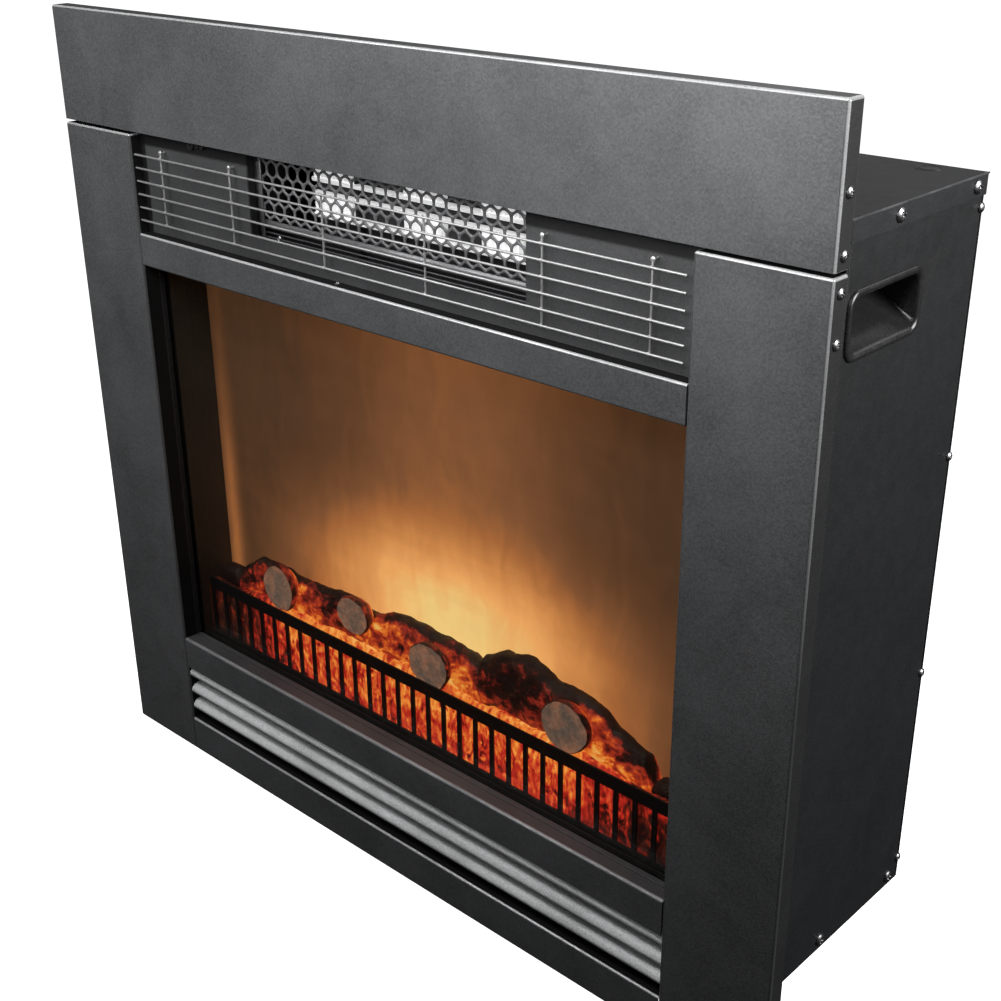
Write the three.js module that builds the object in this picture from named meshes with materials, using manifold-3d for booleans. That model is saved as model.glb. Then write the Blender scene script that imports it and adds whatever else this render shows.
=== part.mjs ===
// Electric fireplace insert: a steel case with a heater, a flame effect and a wide front surround.
// Units are millimetres. In the assembly, X runs to the right, Y from the surround's front face to
// the rear, and Z up from the surround's lower edge. The exported group moves the assembly so that
// the frame's origin is the middle of the case's underside, the face that the insert rests on.
import * as THREE from "three";
import Module from "manifold-3d";
import { mergeVertices } from "three/addons/utils/BufferGeometryUtils.js";

const wasm = await Module();
wasm.setup();

// ---------------------------------------------------------------- driving dimensions
const WIDTH = 664; // surround and case
const HEIGHT = 612; // surround
const GAP = 0.3; // between neighbouring solids
const TRIM_SHEET = 1.2; // surround metal
const CASE_SHEET = 1; // case metal
const RETURN = 13; // depth of the surround's folded edges
const COLUMN_WIDTH = 82;
const TOP_PANEL_HEIGHT = 82;
const COLUMN_SEAM = 2.5; // shadow gap between a column and the top panel
const BOTTOM_PANEL_HEIGHT = 31.5;
const SLAT_BANDS = [[69, 81.5], [53, 64.5], [37.5, 49]]; // lower and upper edge of each slat
const SILL_STRIP_LOW = 82.5;
const WINDOW_LOW = 110;
const WINDOW_HIGH = 430.5;
const HEADER_HIGH = 455;
const CASE_LOW = 84.5;
const CASE_HIGH = 554;
const CASE_REAR = 152.7; // rear face of the rear panel
const FLANGE = 12; // folded edges of the case panels

const FACE_PLATE_FRONT = 9;
const OUTLET = { halfWidth: 127, low: 472.5, high: 541 }; // hot air opening in the face plate
const WIRE_RADIUS = 1;
const WIRE_COUNT = 6;
const WIRE_LOW = 464.8;
const WIRE_PITCH = 9.62;
const STRUT_X = [-220, -141, -46, 48, 143, 221];

const GLASS_FRONT = 18;
const GLASS_THICK = 4;
const SCREEN_FRONT = 57;
const SCREEN_THICK = 2;
const GRATE = {
  bars: 31, pitch: 15.9, barWidth: 3.7, front: 25, sheet: 1.5, high: 162.5, slots: [112.5, 152.5],
};

const ROD_AXIS = { y: 86, z: 150 }; // flicker rod
const WHEEL_AXIS = { y: 90, z: 505 }; // blower wheel
const WHEEL_RADIUS = 26;
const BUTTON_TRAVEL = 1;
const BUTTON_Z = 526.5;
const SWITCH_FRONT = 14.8; // front of the switches' travel
const BUTTONS = [
  { name: "power_button", x: -187, radius: 3.6 },
  { name: "flame_button", x: -179.5, radius: 2 },
  { name: "heat_button", x: -174, radius: 2 },
];

// ---------------------------------------------------------------- derived places
const HALF = WIDTH / 2;
const WINDOW_HALF = HALF - COLUMN_WIDTH;
const INSERT_HALF = WINDOW_HALF - GAP; // pieces that fit between the columns
const TOP_PANEL_LOW = HEIGHT - TOP_PANEL_HEIGHT;
const COLUMN_HIGH = TOP_PANEL_LOW - COLUMN_SEAM;
const FRAME_FRONT = RETURN + GAP;
const FRAME_REAR = FRAME_FRONT + TRIM_SHEET;
const SIDE_OUTER = HALF - CASE_SHEET - GAP; // outer face of a side panel, under the lid's flange
const SIDE_INNER = SIDE_OUTER - CASE_SHEET;
const SIDE_FRONT = FRAME_REAR + GAP;
const REAR_PANEL_FRONT = CASE_REAR - CASE_SHEET;
const SIDE_REAR = REAR_PANEL_FRONT - GAP;
const CASE_FLOOR = CASE_LOW + CASE_SHEET;
const LID_UNDER = CASE_HIGH - CASE_SHEET;
const GLASS_REAR = GLASS_FRONT + GLASS_THICK;
const FIREBOX_FRONT = GLASS_REAR + 0.6;
const FIREBOX_REAR = SCREEN_FRONT - 0.4;
const CASE_MIDDLE_Y = (FRAME_FRONT + CASE_REAR) / 2;

// ---------------------------------------------------------------- materials
const finish = (color, roughness, metalness) =>
  new THREE.MeshStandardMaterial({ color, roughness, metalness });
const trimPaint = finish(0x3c3d3f, 0.5, 0.4);
const casePaint = finish(0x17181a, 0.45, 0.4);
const slatPaint = finish(0x6c6e70, 0.4, 0.5);
const wirePaint = finish(0x2a2a2b, 0.35, 0.7);
const blackSteel = finish(0x101011, 0.6, 0.4);
const gasketRubber = finish(0x0b0b0c, 0.9, 0);
const tintedGlass = finish(0x6b5a4a, 0.05, 0);
const glossPlastic = finish(0x0a0a0b, 0.2, 0);
const screenPlastic = finish(0xd59a55, 0.6, 0);
const emberResin = finish(0xd8541c, 0.7, 0);
const logResin = finish(0x6b2a16, 0.8, 0);
const brightSteel = finish(0xb8b9ba, 0.3, 1);
const bareAluminium = finish(0xc7c9cb, 0.25, 1);
const motorSteel = finish(0x7d7f82, 0.4, 0.8);
const whitePlastic = finish(0xd9d7cf, 0.5, 0);
const boardGreen = finish(0x2d5b39, 0.6, 0);
const lampGlass = finish(0xf2e3c0, 0.1, 0);

// ---------------------------------------------------------------- solids and shapes
// A closed three.js geometry as a solid for joining and cutting.
function solid(geometry) {
  const plain = geometry.index ? geometry.toNonIndexed() : geometry.clone();
  plain.deleteAttribute("normal");
  plain.deleteAttribute("uv");
  const merged = mergeVertices(plain, 1e-4);
  return new wasm.Manifold(
    new wasm.Mesh({
      numProp: 3,
      vertProperties: merged.attributes.position.array,
      triVerts: new Uint32Array(merged.index.array),
    }),
  );
}

function geometryOf(body) {
  const mesh = body.getMesh();
  const geometry = new THREE.BufferGeometry();
  geometry.setAttribute("position", new THREE.BufferAttribute(mesh.vertProperties, 3));
  geometry.setIndex(new THREE.BufferAttribute(mesh.triVerts, 1));
  return geometry;
}

const join = (...bodies) => bodies.reduce((whole, body) => whole.add(body));
const cut = (body, ...tools) => tools.reduce((rest, tool) => rest.subtract(tool), body);

// A block between two corners, with exact corner values so that neighbouring blocks join cleanly.
function block([x0, x1], [y0, y1], [z0, z1]) {
  const box = new THREE.BoxGeometry(1, 1, 1);
  const corner = box.attributes.position;
  for (let i = 0; i < corner.count; i += 1) {
    corner.setXYZ(
      i,
      corner.getX(i) < 0 ? x0 : x1,
      corner.getY(i) < 0 ? y0 : y1,
      corner.getZ(i) < 0 ? z0 : z1,
    );
  }
  return solid(box);
}

// A round bar, or a cone frustum, along an axis from one point.
function bar(axis, from, length, radius, sides = 12, endRadius = radius) {
  const cylinder = new THREE.CylinderGeometry(endRadius, radius, length, sides);
  cylinder.translate(0, length / 2, 0);
  if (axis === "x") cylinder.rotateZ(-Math.PI / 2);
  if (axis === "z") cylinder.rotateX(Math.PI / 2);
  return solid(cylinder.translate(...from));
}

// An outline extruded along one axis. Its two coordinates are the other axes in X, Y, Z order.
function extrude(axis, shape, from, to) {
  const body = new THREE.ExtrudeGeometry(shape, {
    depth: to - from,
    bevelEnabled: false,
    curveSegments: 6,
  });
  if (axis === "x") {
    const yzToWorld = new THREE.Matrix4().makeBasis(
      new THREE.Vector3(0, 1, 0),
      new THREE.Vector3(0, 0, 1),
      new THREE.Vector3(1, 0, 0),
    );
    return solid(body.applyMatrix4(yzToWorld).translate(from, 0, 0));
  }
  if (axis === "y") return solid(body.rotateX(Math.PI / 2).translate(0, to, 0));
  return solid(body.translate(0, 0, from));
}

const outline = (points) => new THREE.Shape(points.map(([a, b]) => new THREE.Vector2(a, b)));

// The section of bent sheet metal: a path along its middle, thickened to both sides.
function bentSheet(path, thickness) {
  const points = path.map(([a, b]) => new THREE.Vector2(a, b));
  const half = thickness / 2;
  const normalOf = (a, b) => {
    const along = b.clone().sub(a).normalize();
    return new THREE.Vector2(-along.y, along.x);
  };
  const offset = (side) =>
    points.map((point, i) => {
      const before = i > 0 ? normalOf(points[i - 1], point) : null;
      const after = i < points.length - 1 ? normalOf(point, points[i + 1]) : null;
      if (!before) return point.clone().addScaledVector(after, side);
      if (!after) return point.clone().addScaledVector(before, side);
      const mitre = before.clone().add(after).normalize();
      return point.clone().addScaledVector(mitre, side / mitre.dot(before));
    });
  const right = offset(-half);
  const left = offset(half).reverse();
  return new THREE.Shape([...right, ...left]);
}

// A rectangle with round corners, as an outline or a hole.
function roundedRectangle([a0, a1], [b0, b1], radius) {
  const shape = new THREE.Shape();
  shape.moveTo(a0 + radius, b0);
  shape.lineTo(a1 - radius, b0);
  shape.absarc(a1 - radius, b0 + radius, radius, -Math.PI / 2, 0);
  shape.lineTo(a1, b1 - radius);
  shape.absarc(a1 - radius, b1 - radius, radius, 0, Math.PI / 2);
  shape.lineTo(a0 + radius, b1);
  shape.absarc(a0 + radius, b1 - radius, radius, Math.PI / 2, Math.PI);
  shape.lineTo(a0, b0 + radius);
  shape.absarc(a0 + radius, b0 + radius, radius, Math.PI, 1.5 * Math.PI);
  return shape;
}

// A front sheet with folded edges that run to the rear on the named sides.
function foldedPanel([x0, x1], [z0, z1], front, depth, sheet, sides) {
  const rear = front + depth;
  const walls = [block([x0, x1], [front, front + sheet], [z0, z1])];
  if (sides.includes("left")) walls.push(block([x0, x0 + sheet], [front, rear], [z0, z1]));
  if (sides.includes("right")) walls.push(block([x1 - sheet, x1], [front, rear], [z0, z1]));
  if (sides.includes("top")) walls.push(block([x0, x1], [front, rear], [z1 - sheet, z1]));
  if (sides.includes("bottom")) walls.push(block([x0, x1], [front, rear], [z0, z0 + sheet]));
  return join(...walls);
}

const mirrored = (body) => {
  const geometry = geometryOf(body);
  const index = geometry.index.array;
  for (let i = 0; i < index.length; i += 3) {
    [index[i + 1], index[i + 2]] = [index[i + 2], index[i + 1]];
  }
  return solid(geometry.scale(-1, 1, 1));
};

const range = (count) => [...Array(count).keys()];

// ---------------------------------------------------------------- assembly
const assembly = new THREE.Group();
assembly.position.set(0, -CASE_MIDDLE_Y, -CASE_LOW);

function add(name, body, material) {
  const mesh = new THREE.Mesh(geometryOf(body), material);
  mesh.name = name;
  assembly.add(mesh);
}

// A piece and its mirror image on the other side. The body is the right-hand one.
function addPair(rightName, leftName, body, material) {
  add(rightName, body, material);
  add(leftName, mirrored(body), material);
}

// ---------------------------------------------------------------- front surround
add(
  "top_panel",
  foldedPanel([-HALF, HALF], [TOP_PANEL_LOW, HEIGHT], 0, RETURN, TRIM_SHEET,
    ["left", "right", "top"]),
  trimPaint,
);
addPair(
  "right_column",
  "left_column",
  foldedPanel([WINDOW_HALF, HALF], [0, COLUMN_HIGH], 0, RETURN, TRIM_SHEET,
    ["left", "right", "top", "bottom"]),
  trimPaint,
);
add(
  "header_bar",
  foldedPanel([-INSERT_HALF, INSERT_HALF], [WINDOW_HIGH, HEADER_HIGH], 0, RETURN, TRIM_SHEET,
    ["top", "bottom"]),
  trimPaint,
);
add(
  "bottom_panel",
  foldedPanel([-INSERT_HALF, INSERT_HALF], [0, BOTTOM_PANEL_HEIGHT], 0, RETURN, TRIM_SHEET,
    ["top", "bottom"]),
  trimPaint,
);

// The sill falls slightly towards the glass.
const SILL_FALL = 1;
const SILL_UNDER = WINDOW_LOW - SILL_FALL - 2 * TRIM_SHEET;
const SILL_DEPTH = GLASS_FRONT - 0.6;
function windowSill() {
  const half = TRIM_SHEET / 2;
  const path = [
    [half, SILL_STRIP_LOW],
    [half, WINDOW_LOW - half],
    [SILL_DEPTH, WINDOW_LOW - half - SILL_FALL],
  ];
  return extrude("x", bentSheet(path, TRIM_SHEET), -INSERT_HALF, INSERT_HALF);
}
add("window_sill", windowSill(), trimPaint);

// Rounded louvre slats on a back plate, below the case.
const PLATE_FRONT = RETURN - TRIM_SHEET;
const SLAT_FRONT = 1.5;
function louvreSlat([low, high]) {
  const slatRear = PLATE_FRONT - GAP;
  const middle = (low + high) / 2;
  const shape = new THREE.Shape();
  shape.moveTo(slatRear, high);
  shape.absellipse(slatRear, middle, slatRear - SLAT_FRONT, (high - low) / 2,
    Math.PI / 2, 1.5 * Math.PI);
  return extrude("x", shape, -INSERT_HALF, INSERT_HALF);
}
SLAT_BANDS.forEach((band, i) => add(`louvre_slat_${i + 1}`, louvreSlat(band), slatPaint));
add(
  "lower_back_plate",
  block([-INSERT_HALF, INSERT_HALF], [PLATE_FRONT, RETURN],
    [BOTTOM_PANEL_HEIGHT + GAP, SILL_UNDER]),
  blackSteel,
);

// ---------------------------------------------------------------- air outlet
function ventFacePlate() {
  const headroom = 2;
  const band = [HEADER_HIGH + GAP, LID_UNDER - headroom];
  const plate = foldedPanel([-INSERT_HALF, INSERT_HALF], band, FACE_PLATE_FRONT,
    RETURN - FACE_PLATE_FRONT, TRIM_SHEET, ["left", "right"]);
  const opening = block([-OUTLET.halfWidth, OUTLET.halfWidth], [0, 2 * RETURN],
    [OUTLET.low, OUTLET.high]);
  const buttonHoles = BUTTONS.map(({ x, radius }) =>
    bar("y", [x, 0, BUTTON_Z], 2 * RETURN, radius + GAP));
  return cut(plate, opening, ...buttonHoles);
}
add("vent_face_plate", ventFacePlate(), trimPaint);

// Welded grille: level wires in front of upright struts, four of which hook back to the face plate.
function wireGrille() {
  const sides = 6;
  const wireY = 3;
  const strutY = wireY + 1.8 * WIRE_RADIUS;
  const wireLength = 2 * INSERT_HALF - 5;
  const highest = WIRE_LOW + (WIRE_COUNT - 1) * WIRE_PITCH;
  const strutLow = WIRE_LOW - WIRE_RADIUS;
  const strutHigh = highest + 5;
  const wires = range(WIRE_COUNT).map((i) =>
    bar("x", [-INSERT_HALF, wireY, WIRE_LOW + i * WIRE_PITCH], wireLength, WIRE_RADIUS, sides));
  const struts = STRUT_X.map((x) =>
    bar("z", [x, strutY, strutLow], strutHigh - strutLow, WIRE_RADIUS, sides));
  const hooks = STRUT_X.filter((x) => Math.abs(x) > OUTLET.halfWidth).map((x) =>
    bar("y", [x, strutY, strutHigh - WIRE_RADIUS], FACE_PLATE_FRONT - GAP - strutY,
      0.9 * WIRE_RADIUS, sides));
  return join(...wires, ...struts, ...hooks);
}
add("wire_grille", wireGrille(), wirePaint);

const DUCT = { half: 133, low: 464.6, high: 549, front: 10.6, rear: 48 };
function ductTube(margin, [front, rear]) {
  const half = DUCT.half + margin;
  return block([-half, half], [front, rear], [DUCT.low - margin, DUCT.high + margin]);
}
add(
  "heater_duct",
  cut(ductTube(0, [DUCT.front, DUCT.rear]), ductTube(-CASE_SHEET, [0, 2 * DUCT.rear])),
  blackSteel,
);

// Guard behind the outlet: a sheet with rows of openings.
function outletMesh() {
  const front = 20;
  const columns = 10;
  const rows = 3;
  const sideWeb = 2; // half of the metal between two openings in a row
  const rowWeb = 3; // half of the metal between two rows
  const inset = CASE_SHEET + GAP;
  const sheet = ductTube(-inset, [front, front + CASE_SHEET]);
  const width = (2 * (DUCT.half - inset)) / columns;
  const height = (DUCT.high - DUCT.low - 2 * inset) / rows;
  const openings = range(columns * rows).map((i) => {
    const x = -DUCT.half + inset + (i % columns) * width;
    const z = DUCT.low + inset + Math.floor(i / columns) * height;
    return block([x + sideWeb, x + width - sideWeb], [front - CASE_SHEET, front + 2 * CASE_SHEET],
      [z + rowWeb, z + height - rowWeb]);
  });
  return cut(sheet, ...openings);
}
add("outlet_mesh", outletMesh(), blackSteel);

// Finned element: end blocks, level heater rows and two feet.
const ELEMENT = { x: [-84, 128], y: [30, 42], z: [472, 530], rows: 4 };
function heatingElement() {
  const { rows } = ELEMENT;
  const end = 8;
  const space = 2;
  const foot = 6;
  const footInset = 3;
  const [left, right] = ELEMENT.x;
  const [front, rear] = ELEMENT.y;
  const [low, high] = ELEMENT.z;
  const pitch = (high - low) / rows;
  const endBlock = (x) => block([x, x + end], [front, rear], [low, high]);
  const footBlock = (x) =>
    block([x, x + foot], [front + footInset, rear - footInset],
      [DUCT.low + CASE_SHEET + GAP, low + 1]);
  const bars = range(rows).map((i) => {
    const rowLow = low + i * pitch;
    return block([left, right], [front + 1, rear - 1], [rowLow + space, rowLow + pitch - space]);
  });
  return join(endBlock(left), endBlock(right - end), ...bars, footBlock(left + 1),
    footBlock(right - 1 - foot));
}
add("heating_element", heatingElement(), bareAluminium);

// Disc thermostat on the duct's side, with two upright tabs.
const CUTOUT = { y: 30, z: 505, radius: 8, height: 6, tabReach: 14, tabSpread: 4 };
function thermalCutout() {
  const { y, z, radius, height, tabReach, tabSpread } = CUTOUT;
  const foot = DUCT.half + GAP;
  const tabHalf = { y: 0.4, z: 2 };
  const tabs = [-tabSpread, tabSpread].map((offset) =>
    block([foot + height - 1, foot + tabReach], [y - tabHalf.y, y + tabHalf.y],
      [z + offset - tabHalf.z, z + offset + tabHalf.z]));
  return join(bar("x", [foot, y, z], height, radius), ...tabs);
}
add("thermal_cutout", thermalCutout(), whitePlastic);

// ---------------------------------------------------------------- blower
const BLOWER = { left: -100, right: 132, front: DUCT.rear + GAP, rear: 130, low: 466, high: 548 };
const SHAFT_RADIUS = 2.5;
const SHAFT_END = { left: BLOWER.left - 3, right: BLOWER.right + 9 };
function blowerHousing() {
  const { left, right, front, rear, low, high } = BLOWER;
  const { y, z } = WHEEL_AXIS;
  const scroll = { radius: WHEEL_RADIUS + 8, start: -115, step: 17, points: 9, footRise: 3 };
  const lip = { drop: 6, tipDrop: 10, tipBack: 20 };
  const boss = { radius: 8, length: 4 };
  const arc = range(scroll.points).map((i) => {
    const angle = ((scroll.start + i * scroll.step) * Math.PI) / 180;
    return [y + scroll.radius * Math.cos(angle), z + scroll.radius * Math.sin(angle)];
  });
  const wrap = bentSheet([[front, low + scroll.footRise], ...arc], CASE_SHEET);
  const tongue = bentSheet([[front, high - lip.drop], [y - lip.tipBack, high - lip.tipDrop]],
    CASE_SHEET);
  const plates = [left, right - CASE_SHEET].map((x) =>
    block([x, x + CASE_SHEET], [front, rear], [low, high]));
  const bearing = bar("x", [left - boss.length, y, z], boss.length, boss.radius);
  const shaftHole = bar("x", [left - 2 * boss.length, y, z], right - left + 4 * boss.length,
    SHAFT_RADIUS + GAP);
  const shell = join(extrude("x", wrap, left, right), extrude("x", tongue, left, right),
    ...plates, bearing);
  return cut(shell, shaftHole);
}
add("blower_housing", blowerHousing(), brightSteel);

function blowerWheel() {
  const { y, z } = WHEEL_AXIS;
  const sideSpace = 4;
  const discThick = 2;
  const blade = { count: 16, thick: 0.8, depth: 6, tilt: 0.6, inset: 4 };
  const [left, right] = [BLOWER.left + sideSpace, BLOWER.right - sideSpace];
  const discs = [left, right - discThick].map((x) =>
    bar("x", [x, y, z], discThick, WHEEL_RADIUS, 16));
  const shaft = bar("x", [SHAFT_END.left, y, z], SHAFT_END.right - SHAFT_END.left,
    SHAFT_RADIUS, 10);
  const blades = range(blade.count).map((i) => {
    const body = new THREE.BoxGeometry(right - left - discThick, blade.thick, blade.depth);
    body.rotateX(blade.tilt).translate(0, 0, WHEEL_RADIUS - blade.inset);
    body.rotateX((i * 2 * Math.PI) / blade.count);
    return solid(body.translate((left + right) / 2, y, z));
  });
  return join(...discs, shaft, ...blades);
}
add("blower_wheel", blowerWheel(), blackSteel);

// Shaded-pole motor: a core, a coil above it and a round bearing boss. Places are from the shaft.
function blowerMotor() {
  const { y, z } = WHEEL_AXIS;
  const left = BLOWER.right + GAP;
  const part = (x, [front, rear], [low, high]) =>
    block([left + x[0], left + x[1]], [y + front, y + rear], [z + low, z + high]);
  const core = part([6, 26], [-24, 24], [-22, 26]);
  const coil = part([2, 30], [-12, 12], [20, 38]);
  const boss = { length: 34, radius: 11, bore: 13 };
  const shaftHole = bar("x", [left - 1, y, z], boss.bore + 1, SHAFT_RADIUS + GAP);
  return cut(join(core, coil, bar("x", [left, y, z], boss.length, boss.radius)), shaftHole);
}
add("blower_motor", blowerMotor(), motorSteel);

// ---------------------------------------------------------------- controls
const BOARD = { x: [-232, -150], z: [482, 546], front: 17.5, thick: 1.6 };
const RELAY = { x: [-215, -195], half: 7, depth: 16, z: [492, 510] };
const POST = { x: [-226, -156], z: 488, radius: 3 };
function controlBoard() {
  const { front } = BOARD;
  const switchHalf = 2.2;
  const board = block(BOARD.x, [front, front + BOARD.thick], BOARD.z);
  const switches = BUTTONS.map(({ x }) =>
    block([x - switchHalf, x + switchHalf], [SWITCH_FRONT + BUTTON_TRAVEL, front + BOARD.thick / 4],
      [BUTTON_Z - switchHalf, BUTTON_Z + switchHalf]));
  const relays = RELAY.x.map((x) =>
    block([x - RELAY.half, x + RELAY.half], [front + BOARD.thick / 2, front + RELAY.depth], RELAY.z));
  const posts = POST.x.map((x) =>
    bar("y", [x, FRAME_REAR + GAP, POST.z], front - FRAME_REAR, POST.radius, 8));
  return join(board, ...switches, ...relays, ...posts);
}
add("control_board", controlBoard(), boardGreen);

const BUTTON_FRONT = FACE_PLATE_FRONT - 2;
const BUTTON_REAR = SWITCH_FRONT - GAP;
BUTTONS.forEach(({ name, x, radius }) =>
  add(name, bar("y", [x, BUTTON_FRONT, BUTTON_Z], BUTTON_REAR - BUTTON_FRONT, radius),
    glossPlastic));

// ---------------------------------------------------------------- case
// Plate behind the surround, with the window, the air outlet and a slot for the buttons.
function frontFrame() {
  const plate = block([-SIDE_OUTER, SIDE_OUTER], [FRAME_FRONT, FRAME_REAR],
    [CASE_FLOOR + GAP, LID_UNDER - GAP]);
  const window = block([-WINDOW_HALF, WINDOW_HALF], [0, 2 * RETURN],
    [SILL_UNDER + 1, WINDOW_HIGH]);
  const slot = { x: [-194, -169], half: 6 };
  const buttonSlot = block(slot.x, [0, 2 * RETURN], [BUTTON_Z - slot.half, BUTTON_Z + slot.half]);
  return cut(plate, window, ductTube(GAP, [0, 2 * RETURN]), buttonSlot);
}
add("front_frame", frontFrame(), blackSteel);

const HANDLE = { y: [17, 92], z: [479, 517], rim: 3, wall: 2, depth: 36, corner: 9, rise: 22 };
const inset = ([low, high], by) => [low + by, high - by];
const LID_SCREW_Y = [59, 141];
const LID_SCREW_Z = 548;
const BASE_SCREW_Y = [55.5, 139];
const BASE_SCREW_Z = 92;
const SCREW_SHANK = 1.8;
const screwHole = (y, z) =>
  bar("x", [SIDE_INNER - FLANGE, y, z], 2 * FLANGE, SCREW_SHANK + GAP, 8);

function rightSidePanel() {
  const half = CASE_SHEET / 2;
  const path = [
    [SIDE_OUTER - FLANGE, SIDE_FRONT + half],
    [SIDE_OUTER - half, SIDE_FRONT + half],
    [SIDE_OUTER - half, SIDE_REAR - half],
    [SIDE_OUTER - FLANGE, SIDE_REAR - half],
  ];
  const panel = extrude("z", bentSheet(path, CASE_SHEET), CASE_FLOOR + GAP, LID_UNDER - GAP);
  const recess = roundedRectangle(inset(HANDLE.y, HANDLE.rim), inset(HANDLE.z, HANDLE.rim),
    HANDLE.corner - HANDLE.rim);
  return cut(
    panel,
    extrude("x", recess, SIDE_INNER - 5, SIDE_OUTER + 5),
    ...LID_SCREW_Y.map((y) => screwHole(y, LID_SCREW_Z)),
    ...BASE_SCREW_Y.map((y) => screwHole(y, BASE_SCREW_Z)),
  );
}
addPair("right_side_panel", "left_side_panel", rightSidePanel(), casePaint);

// Grip recess: a cup with a flat rim that lies on the side panel. Its floor rises inwards, so that
// the pocket is deepest under its top edge.
function rightHandle() {
  const { y, z, rim, wall, depth, corner, rise } = HANDLE;
  const rimHeight = 1.6;
  const rimOuter = SIDE_OUTER + GAP + rimHeight;
  const rimShape = roundedRectangle(y, z, corner);
  const bodyBy = rim + GAP;
  const bodyShape = roundedRectangle(inset(y, bodyBy), inset(z, bodyBy), corner - bodyBy);
  const mouthBy = bodyBy + wall;
  const mouthShape = roundedRectangle(inset(y, mouthBy), inset(z, mouthBy), corner - mouthBy);
  // Section across the cup: lowest at its mouth, and rising with the depth.
  const slanted = (by, innermost) => {
    const [low, high] = inset(z, by);
    const section = outline([
      [rimOuter + 1, low - 1],
      [rimOuter + 1, high],
      [innermost, high],
      [innermost, low + rise],
      [SIDE_OUTER - 2, low],
      [rimOuter, low - 1],
    ]);
    return extrude("y", section, ...y);
  };
  const innermost = SIDE_OUTER - depth;
  const body = extrude("x", bodyShape, innermost, SIDE_OUTER + GAP + 1);
  const hollow = extrude("x", mouthShape, innermost, rimOuter + 1);
  return cut(
    join(
      extrude("x", rimShape, SIDE_OUTER + GAP, rimOuter),
      body.intersect(slanted(bodyBy, innermost)),
    ),
    hollow.intersect(slanted(mouthBy, innermost + wall)),
  );
}
addPair("right_handle", "left_handle", rightHandle(), glossPlastic);

// The lid is one sheet with its sides and its rear edge folded down, and relieved corners.
function topLid() {
  const half = CASE_SHEET / 2;
  const rear = CASE_REAR + GAP + CASE_SHEET;
  const flangeLow = CASE_HIGH - FLANGE;
  const path = [
    [half - HALF, flangeLow],
    [half - HALF, CASE_HIGH - half],
    [HALF - half, CASE_HIGH - half],
    [HALF - half, flangeLow],
  ];
  const sheet = extrude("y", bentSheet(path, CASE_SHEET), FRAME_FRONT, CASE_REAR);
  const reach = HALF - 2 * CASE_SHEET;
  const rearEdge = join(
    block([-reach, reach], [CASE_REAR - 2, rear], [LID_UNDER, CASE_HIGH]),
    block([-reach, reach], [CASE_REAR + GAP, rear], [flangeLow, CASE_HIGH]),
  );
  const holes = LID_SCREW_Y.map((screwY) => screwHole(screwY, LID_SCREW_Z));
  return cut(join(sheet, rearEdge), ...holes, ...holes.map(mirrored));
}
add("top_lid", topLid(), casePaint);

// The tray's side flanges stand inside the side panels.
function baseTray() {
  const y = [SIDE_FRONT + 2, SIDE_REAR - 2];
  const outer = SIDE_INNER - GAP;
  const inner = outer - CASE_SHEET;
  const high = CASE_LOW + FLANGE;
  const tray = join(
    block([-SIDE_OUTER, SIDE_OUTER], [FRAME_FRONT, CASE_REAR], [CASE_LOW, CASE_FLOOR]),
    block([inner, outer], y, [CASE_LOW, high]),
    block([-outer, -inner], y, [CASE_LOW, high]),
  );
  const holes = BASE_SCREW_Y.map((screwY) => screwHole(screwY, BASE_SCREW_Z));
  return cut(tray, ...holes, ...holes.map(mirrored));
}
add("base_tray", baseTray(), casePaint);

const GLAND = { x: -285, z: 118, radius: 9, neck: 7, bore: 4, flange: 2.2 };
const VENT = { pitch: 14, width: 5 };
const INTAKE = { count: 16, x: -90, z: [488, 530] }; // for the blower
const LAMP_VENT = { count: 8, x: 60, z: [112, 142] };
function rearPanel() {
  const panel = block([-SIDE_OUTER, SIDE_OUTER], [REAR_PANEL_FRONT, CASE_REAR],
    [CASE_FLOOR + GAP, LID_UNDER - GAP]);
  const through = [CASE_REAR - FLANGE, CASE_REAR + FLANGE];
  const slots = ({ count, x, z }) => range(count).map((i) =>
    block([x + i * VENT.pitch, x + i * VENT.pitch + VENT.width], through, z));
  const glandHole = bar("y", [GLAND.x, through[0], GLAND.z], 2 * FLANGE, GLAND.neck + GAP);
  return cut(panel, ...slots(INTAKE), ...slots(LAMP_VENT), glandHole);
}
add("rear_panel", rearPanel(), casePaint);

function cordGland() {
  const { x, z } = GLAND;
  const neckReach = 3;
  const front = REAR_PANEL_FRONT - neckReach;
  const rear = CASE_REAR + GAP + GLAND.flange;
  const flange = bar("y", [x, CASE_REAR + GAP, z], GLAND.flange, GLAND.radius);
  const neck = bar("y", [x, front, z], rear - front, GLAND.neck);
  return cut(join(flange, neck), bar("y", [x, front - 1, z], rear - front + 2, GLAND.bore));
}
add("cord_gland", cordGland(), glossPlastic);

// Pan-head screw along X, with its head outside the given face.
function sideScrew(y, z, face, reach) {
  const headRadius = 4;
  const headHeight = 2.4;
  const profile = [
    [0, -reach],
    [SCREW_SHANK, -reach],
    [SCREW_SHANK, GAP],
    [headRadius, GAP],
    [headRadius, GAP + 0.4 * headHeight],
    [0.6 * headRadius, GAP + headHeight],
    [0, GAP + headHeight],
  ];
  const points = profile.map(([radius, along]) => new THREE.Vector2(radius, along));
  const screw = new THREE.LatheGeometry(points, 10).rotateZ(-Math.PI / 2);
  return solid(screw.translate(face, y, z));
}
LID_SCREW_Y.forEach((y, i) =>
  addPair(`lid_screw_right_${i + 1}`, `lid_screw_left_${i + 1}`,
    sideScrew(y, LID_SCREW_Z, HALF, 8), brightSteel));
BASE_SCREW_Y.forEach((y, i) =>
  addPair(`base_screw_right_${i + 1}`, `base_screw_left_${i + 1}`,
    sideScrew(y, BASE_SCREW_Z, SIDE_OUTER, 8), brightSteel));

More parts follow.
